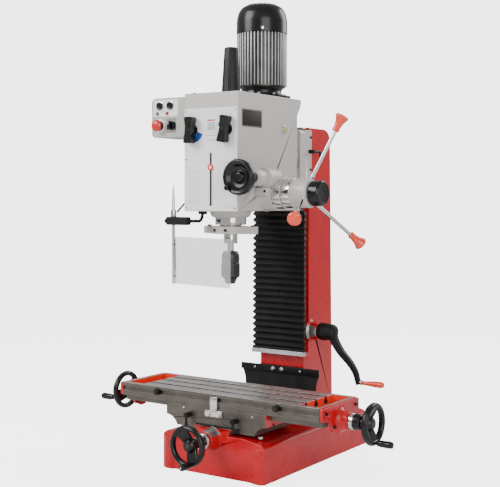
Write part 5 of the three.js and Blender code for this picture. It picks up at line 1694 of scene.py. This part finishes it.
class MILL_OT_wheels(PieceOperator, bpy.types.Operator):
    """Build the three handwheels, their grips, and the feed screws with their dials"""

    bl_idname = "mill.wheels"
    bl_label = "Handwheels"

    def execute(self, context):
        for name in WHEELS:
            placed = wheel_frame(name)
            self.build_wheel(name, placed)
            self.build_grip(name, placed)
        self.build_y_screw()
        self.build_x_screw()
        return {"FINISHED"}

    def build_wheel(self, name, placed):
        """A round rim, a wide dished web and a hub with a set screw."""
        bm = bmesh.new()
        wire = [(10.9 * math.sin(a),
            59 + 8.9 * math.cos(a)) for a in [2 * math.pi * k / 20 for k in range(20)]]
        lathe(bm, (0, 0, 0), UP, scaled(wire), 0, 96, closed=True)
        for side in (-1, 1):
            path = smooth_path([(side * r * MM, 0, h * MM) for r,
                h in ((4, -15), (16, -15), (34, -6), (55, 2))], 24)

            def web(share):
                wide, thick = (19 + 6 * share ** 2) * MM, 4.6 * MM
                return soften([(-wide, -thick), (wide, -thick), (wide, thick), (-wide, thick)], 3 * MM,
                    True)

            sweep(bm, path, web, up=(0, 0, 1))
        profile = [(-38, 0), (-38, 19), (-34, 19.4), (-14, 23), (-6, 22), (1, 16), (1.8, 14), (1.8, 9)]
        lathe(bm, (0, 0, 0), UP, scaled([*profile, (0.6, 8.6), (0.6, 0)]), 1.4 * MM, 64)
        lathe(bm, (0, 0, 0), UP, scaled([(0.2, 0), (0.2, 8.4), (1.9, 7.6), (2, 0)]), 0.5 * MM, 40, index=1)
        bm.transform(placed)
        show(made(f"{name}_wheel", bm, FINISH["black"], FINISH["dark_steel"]), "black_enamel",
            f"{name}_handwheel")

    def build_grip(self, name, placed):
        """A revolving grip on a plain spindle."""
        bm = bmesh.new()
        profile = [(11.5, 0), (11.5, 5.8), (14, 6.4), (16, 8.8), (26, 10.6), (44, 11.3), (60, 11.4),
            (67, 9.8), (69.8, 5), (69.9, 0)]
        lathe(bm, (58 * MM, 0, 0), UP, scaled(profile), 2.4 * MM, 56)
        lathe(bm, (58 * MM, 0, 0), UP, scaled([(68.6, 0), (68.6, 3.6), (69.95, 3), (69.97, 0)]), 0.3 * MM,
            32, index=1)
        bm.transform(placed)
        show(made(f"{name}_grip", bm, FINISH["plastic"], FINISH["plated"]), "black_plastic",
            f"{name}_handle_grip")

    def build_dial(self, bm, at, direction, near, far, wide):
        """A silver dial with a knurled edge, from one distance to another."""
        profile = [(near, 0), (near, wide - 2), (near + 3, wide), (far - 7, wide), (far - 6.4, wide - 0.8),
            (far - 5.8, wide), (far - 1, wide), (far, wide - 1.5), (far, 0)]
        lathe(bm, at, direction, scaled(profile), 0.5 * MM, 96, index=1)

    def build_marks(self, name, node, at, turn, wide):
        tick = bmesh.new()
        block(tick, ((wide - 0.3) * MM, -0.16 * MM, 0), ((wide + 0.04) * MM, 0.16 * MM, 5 * MM), 0)
        count = sizes().dial_marks
        trim(repeated(name, "round", tick, FINISH["ink"], Count=count,
            **{"Step angle": 2 * math.pi / count}, Turn=turn, Centre=Vector(at)), node)

    def build_y_screw(self):
        screw_at = AT["y_screw"]
        x, z = screw_at.mid.x, screw_at.mid.z
        front, back = screw_at.lo.y, screw_at.hi.y
        bm = bmesh.new()
        rod(bm, (x, back, z), (x, front, z), 9 * MM, 0.6 * MM, 48)
        self.build_dial(bm, (x, -391.8 * MM, z), FRONT, 0, 20, 26.6)
        lathe(bm, (x, -411.8 * MM, z), FRONT, scaled([(0, 0), (0, 17), (33.8, 17), (33.8, 0)]), 1 * MM, 64,
            index=2)
        show(made("y_feed_screw", bm, FINISH["steel"], FINISH["plated"], FINISH["black"]), "steel",
            "y_screw")
        self.build_marks("y_dial_marks", "y_screw", (x, -395 * MM, z), QUARTER_FRONT, 26.6)

    def build_x_screw(self):
        place = AT["x_screw"]
        y, z = place.mid.y, place.mid.z
        bm = bmesh.new()
        rod(bm, (place.lo.x, y, z), (place.hi.x, y, z), 9 * MM, 0.6 * MM, 48)
        face = 446 * MM
        self.build_dial(bm, (face, y, z), RIGHT_SIDE, 0, 16, 26.6)
        cone = [(0, 0), (0, 26.4), (4, 26.8), (21, 24.4), (24.4, 22), (24.4, 0)]
        lathe(bm, (face + 16 * MM, y, z), RIGHT_SIDE, scaled(cone), 1.2 * MM, 64, index=2)
        self.build_marks("x_dial_marks", "x_screw", (face + 3 * MM, y, z), QUARTER_RIGHT, 26.6)
        show(made("x_feed_screw", bm, FINISH["steel"], FINISH["plated"], FINISH["black"]), "steel",
            "x_screw")


class MILL_OT_crank(PieceOperator, bpy.types.Operator):
    """Build the head lift's crank with its revolving grip"""

    bl_idname = "mill.crank"
    bl_label = "Lift crank"

    def execute(self, context):
        y, z = 134 * MM, 440 * MM
        line = [(178, 450), (187, 415), (214, 374), (252, 336), (274, 304), (287, 262)]
        bm = bmesh.new()
        path = smooth_path([(x * MM, y, height * MM) for x, height in line], 48)

        def arm(share):
            wide = (15.6 - 7.2 * share) * MM
            thick = (13.6 - 5.4 * share) * MM
            return soften([(-thick, -wide), (thick, -wide), (thick, wide), (-thick, wide)], 5 * MM, True, 5)

        sweep(bm, path, arm, up=(1, 0, 0))
        profile = [(129.2, 12.3), (129.2, 29), (132, 30.6), (145, 31.8), (164, 30), (183, 27.8),
            (190, 24.6), (192.8, 21), (192.8, 0), (187.4, 0), (187.4, 12.3)]
        lathe(bm, (0, y, z), RIGHT_SIDE, scaled(profile), 2 * MM, 80, closed=True)
        rod(bm, (287 * MM, y, 270 * MM), (373.8 * MM, y, 270 * MM), 4 * MM, 0.4 * MM, 24, 1)
        lathe(bm, (192.6 * MM, y, z), RIGHT_SIDE, scaled([(-1, 0), (-1, 7), (0.3, 6.5), (0.35, 0)]),
            0.3 * MM, 32, index=1)
        show(made("crank", bm, FINISH["satin"], FINISH["dark_steel"]), "black_enamel", "crank_arm")
        profile = [(0, 4.3), (0, 6.8), (22, 8), (40, 9.6), (54, 10.6), (70, 11.1), (77, 10.8), (84.4, 8),
            (84.8, 0), (76, 0), (76, 4.3)]
        grip = bmesh.new()
        lathe(grip, (300 * MM, y, 270 * MM), RIGHT_SIDE, scaled(profile), 2.4 * MM, 64, closed=True)
        show(made("crank_handle", grip, FINISH["orange"]), "orange_plastic", "crank_grip")
        washer = bmesh.new()
        lathe(washer, (295 * MM, y, 270 * MM), RIGHT_SIDE, scaled([(0, 4.1), (0, 9), (4.8, 9), (4.8, 4.1)]),
            0.5 * MM, 40, closed=True)
        trim(made("crank_washer", washer, FINISH["plated"]), "crank_arm")
        return {"FINISHED"}


# ---------------------------------------------------------------- chip guard

class MILL_OT_guard(PieceOperator, bpy.types.Operator):
    """Build the chip guard: holder, rod, clear sheet and its switch cable"""

    bl_idname = "mill.guard"
    bl_label = "Chip guard"

    def execute(self, context):
        rod_at = AT["guard_rod"]
        x, y = rod_at.mid.x, rod_at.mid.y
        obj = copy_of("guard_bracket", "guard_holder", FINISH["satin"])
        round_edges(obj, 0.6 * MM, 2)
        show(obj, "black_enamel", "guard_holder")
        bm = bmesh.new()
        profile = [(632, 0), (632, 5), (856.4, 5), (856.4, 9.2), (879, 9.2), (880, 5), (900, 4.8),
            (940, 3.4), (965.5, 0.6), (966, 0)]
        lathe(bm, (x, y, 0), UP, scaled(profile), 0.6 * MM, 48)
        show(made("guard_post", bm, FINISH["plated"]), "steel", "guard_rod")
        pane = AT["guard_panel"]
        hung = Matrix.Translation((x, y, 0)) @ Matrix.Rotation(-0.2, 4, "Z")
        low, high, reach, half = pane.lo.z, pane.hi.z, 275.8 * MM, 1.9 * MM
        bm = bmesh.new()
        block(bm, (5.8 * MM, -half, low), (reach, half, high), 0.4 * MM, 0, hung)
        show(made("guard_sheet", bm, FINISH["clear"]), "clear_sheet", "guard_panel")
        clamp = bmesh.new()
        block(clamp, (6 * MM, -half - 2.4 * MM, low + 6 * MM), (15 * MM, -half + 0.1 * MM, high - 6 * MM),
            0.6 * MM, 0, hung)
        trim(made("guard_clamp_strip", clamp, FINISH["plated"]), "guard_panel")
        spots = [tuple(hung @ Vector((10.5 * MM, -half - 2.2 * MM, z))) for z in (low + 25 * MM,
            high - 25 * MM)]
        fasten("guard_screws", screw(3 * MM, 2 * MM), "dark_steel", spots, "guard_panel",
            QUARTER_FRONT)
        cable = AT["guard_cable"]
        points = [(x + 13 * MM, y + 4 * MM, 872 * MM), (x + 22 * MM, y + 20 * MM, 892 * MM),
            (-118 * MM, y + 60 * MM, 926 * MM), (-112 * MM, y + 100 * MM, 960 * MM),
            (-112 * MM, y + 130 * MM, 1020 * MM), (-113 * MM, y + 140 * MM, 1100 * MM),
            (-116 * MM, y + 142 * MM, cable.hi.z - 0.3 * MM)]
        bm = bmesh.new()
        sweep(bm, smooth_path(points, 90), circle(3.1 * MM, 20))
        show(made("guard_switch_cable", bm, FINISH["rubber"]), "black_rubber", "guard_cable")
        return {"FINISHED"}


# ---------------------------------------------------------------- works inside the castings

class MILL_OT_inner_works(PieceOperator, bpy.types.Operator):
    """Give the screws, shafts and gears inside the castings their steel"""

    bl_idname = "mill.inner_works"
    bl_label = "Inner works"

    def execute(self, context):
        for node in ("z_screw", "crank_shaft", "motor_rotor", "intermediate_gear", "spindle_gear"):
            mesh = frame["nodes"][node].data
            mesh.materials.clear()
            mesh.materials.append(FINISH["steel"])
            for face in mesh.polygons:
                face.material_index = 0
        return {"FINISHED"}


# ---------------------------------------------------------------- studio

def aimed(obj, place, target):
    """Puts a lamp in place, facing a target."""
    obj.location = place
    obj.rotation_euler = (Vector(target) - Vector(place)).to_track_quat("-Z", "Y").to_euler()


class MILL_OT_stage(PieceOperator, bpy.types.Operator):
    """Set the floor, the soft lamps, the world and the camera"""

    bl_idname = "mill.stage"
    bl_label = "Studio"

    def execute(self, context):
        self.build_floor()
        lamps = (("key", (-1.9, -3.1, 3.1), (0, -0.1, 0.75), 175, 2.2),
            ("fill", (2.9, -2.5, 1.7), (0.1, -0.1, 0.7), 75, 2.4),
            ("rim", (1.2, 2.6, 2.6), (0, 0, 0.8), 60, 1.8))
        for name, place, target, power, size in lamps:
            light = bpy.data.lights.new(name, "AREA")
            light.energy = power
            light.size = size
            lamp = bpy.data.objects.new(name, light)
            context.scene.collection.objects.link(lamp)
            aimed(lamp, place, target)
        world = bpy.data.worlds.new("Pale studio")
        world.use_nodes = True
        nodes, links = world.node_tree.nodes, world.node_tree.links
        ambient, backdrop = nodes["Background"], nodes.new("ShaderNodeBackground")
        for shader, strength in ((ambient, 0.55), (backdrop, 4.0)):
            shader.inputs["Color"].default_value = (1, 1, 1, 1)
            shader.inputs["Strength"].default_value = strength
        seen, blend = nodes.new("ShaderNodeLightPath"), nodes.new("ShaderNodeMixShader")
        links.new(seen.outputs["Is Camera Ray"], blend.inputs[0])
        links.new(ambient.outputs[0], blend.inputs[1])
        links.new(backdrop.outputs[0], blend.inputs[2])
        links.new(blend.outputs[0], nodes["World Output"].inputs["Surface"])
        context.scene.world = world
        self.build_camera(context)
        return {"FINISHED"}

    def build_floor(self):
        material, shader = finish("Studio floor", Roughness=0.6)
        shader.inputs["Base Color"].default_value = (0.85, 0.85, 0.85, 1)
        shader.inputs["Emission Color"].default_value = (1, 1, 1, 1)
        seen = material.node_tree.nodes.new("ShaderNodeLightPath")
        glow = material.node_tree.nodes.new("ShaderNodeMath")
        glow.operation = "MULTIPLY"
        glow.inputs[1].default_value = 3.4
        material.node_tree.links.new(seen.outputs["Is Camera Ray"], glow.inputs[0])
        material.node_tree.links.new(glow.outputs[0], shader.inputs["Emission Strength"])
        bm = bmesh.new()
        bmesh.ops.create_grid(bm, x_segments=1, y_segments=1, size=8)
        return made("studio_floor", bm, material)

    def build_camera(self, context):
        """A long lens from the front right, a little above the table's height."""
        turn, dip, roll = math.radians(34.1), math.radians(2.7), math.radians(0.2)
        forward = Vector((-math.sin(turn) * math.cos(dip), math.cos(turn) * math.cos(dip), -math.sin(dip)))
        right = forward.cross(Vector(UP)).normalized()
        top = right.cross(forward)
        across = right * math.cos(roll) + top * math.sin(roll)
        up = top * math.cos(roll) - right * math.sin(roll)
        data = bpy.data.cameras.new("camera")
        data.lens = 74.3
        data.sensor_width = 36
        data.shift_x = 0.0042
        camera = bpy.data.objects.new("camera", data)
        context.scene.collection.objects.link(camera)
        camera.matrix_world = Matrix.Translation((1.988, -3.079, 0.930)) @ \
            Matrix((across, up, -forward)).transposed().to_4x4()
        context.scene.camera = camera


# ---------------------------------------------------------------- add-on

PIECES = (MILL_OT_base, MILL_OT_column, MILL_OT_way_cover, MILL_OT_saddle, MILL_OT_table, MILL_OT_carrier,
    MILL_OT_head, MILL_OT_motor, MILL_OT_spindle, MILL_OT_feed, MILL_OT_fine_feed, MILL_OT_controls,
    MILL_OT_wheels, MILL_OT_crank, MILL_OT_guard, MILL_OT_inner_works, MILL_OT_stage)


class MILL_PT_pieces(bpy.types.Panel):
    """Lists the machine's pieces, its sizes and its paints"""

    bl_idname = "MILL_PT_pieces"
    bl_label = "Mill-drill"
    bl_space_type = "VIEW_3D"
    bl_region_type = "UI"
    bl_category = "Mill-drill"

    def draw(self, context):
        column = self.layout.column()
        for settings in (context.scene.mill_sizes, context.scene.mill_colours):
            for name in settings.__annotations__:
                column.prop(settings, name)
        for piece in PIECES:
            column.operator(piece.bl_idname)


def register():
    for part in (Colours, Sizes, *PIECES, MILL_PT_pieces):
        bpy.utils.register_class(part)
    bpy.types.Scene.mill_colours = PointerProperty(type=Colours)
    bpy.types.Scene.mill_sizes = PointerProperty(type=Sizes)


def unregister():
    del bpy.types.Scene.mill_sizes
    del bpy.types.Scene.mill_colours
    for part in reversed((Colours, Sizes, *PIECES, MILL_PT_pieces)):
        bpy.utils.unregister_class(part)


def main():
    register()
    FINISH.update(make_finishes(bpy.context.scene.mill_colours))
    for piece in PIECES:
        group, name = piece.bl_idname.split(".")
        getattr(getattr(bpy.ops, group), name)()


if __name__ == "__main__":
    main()
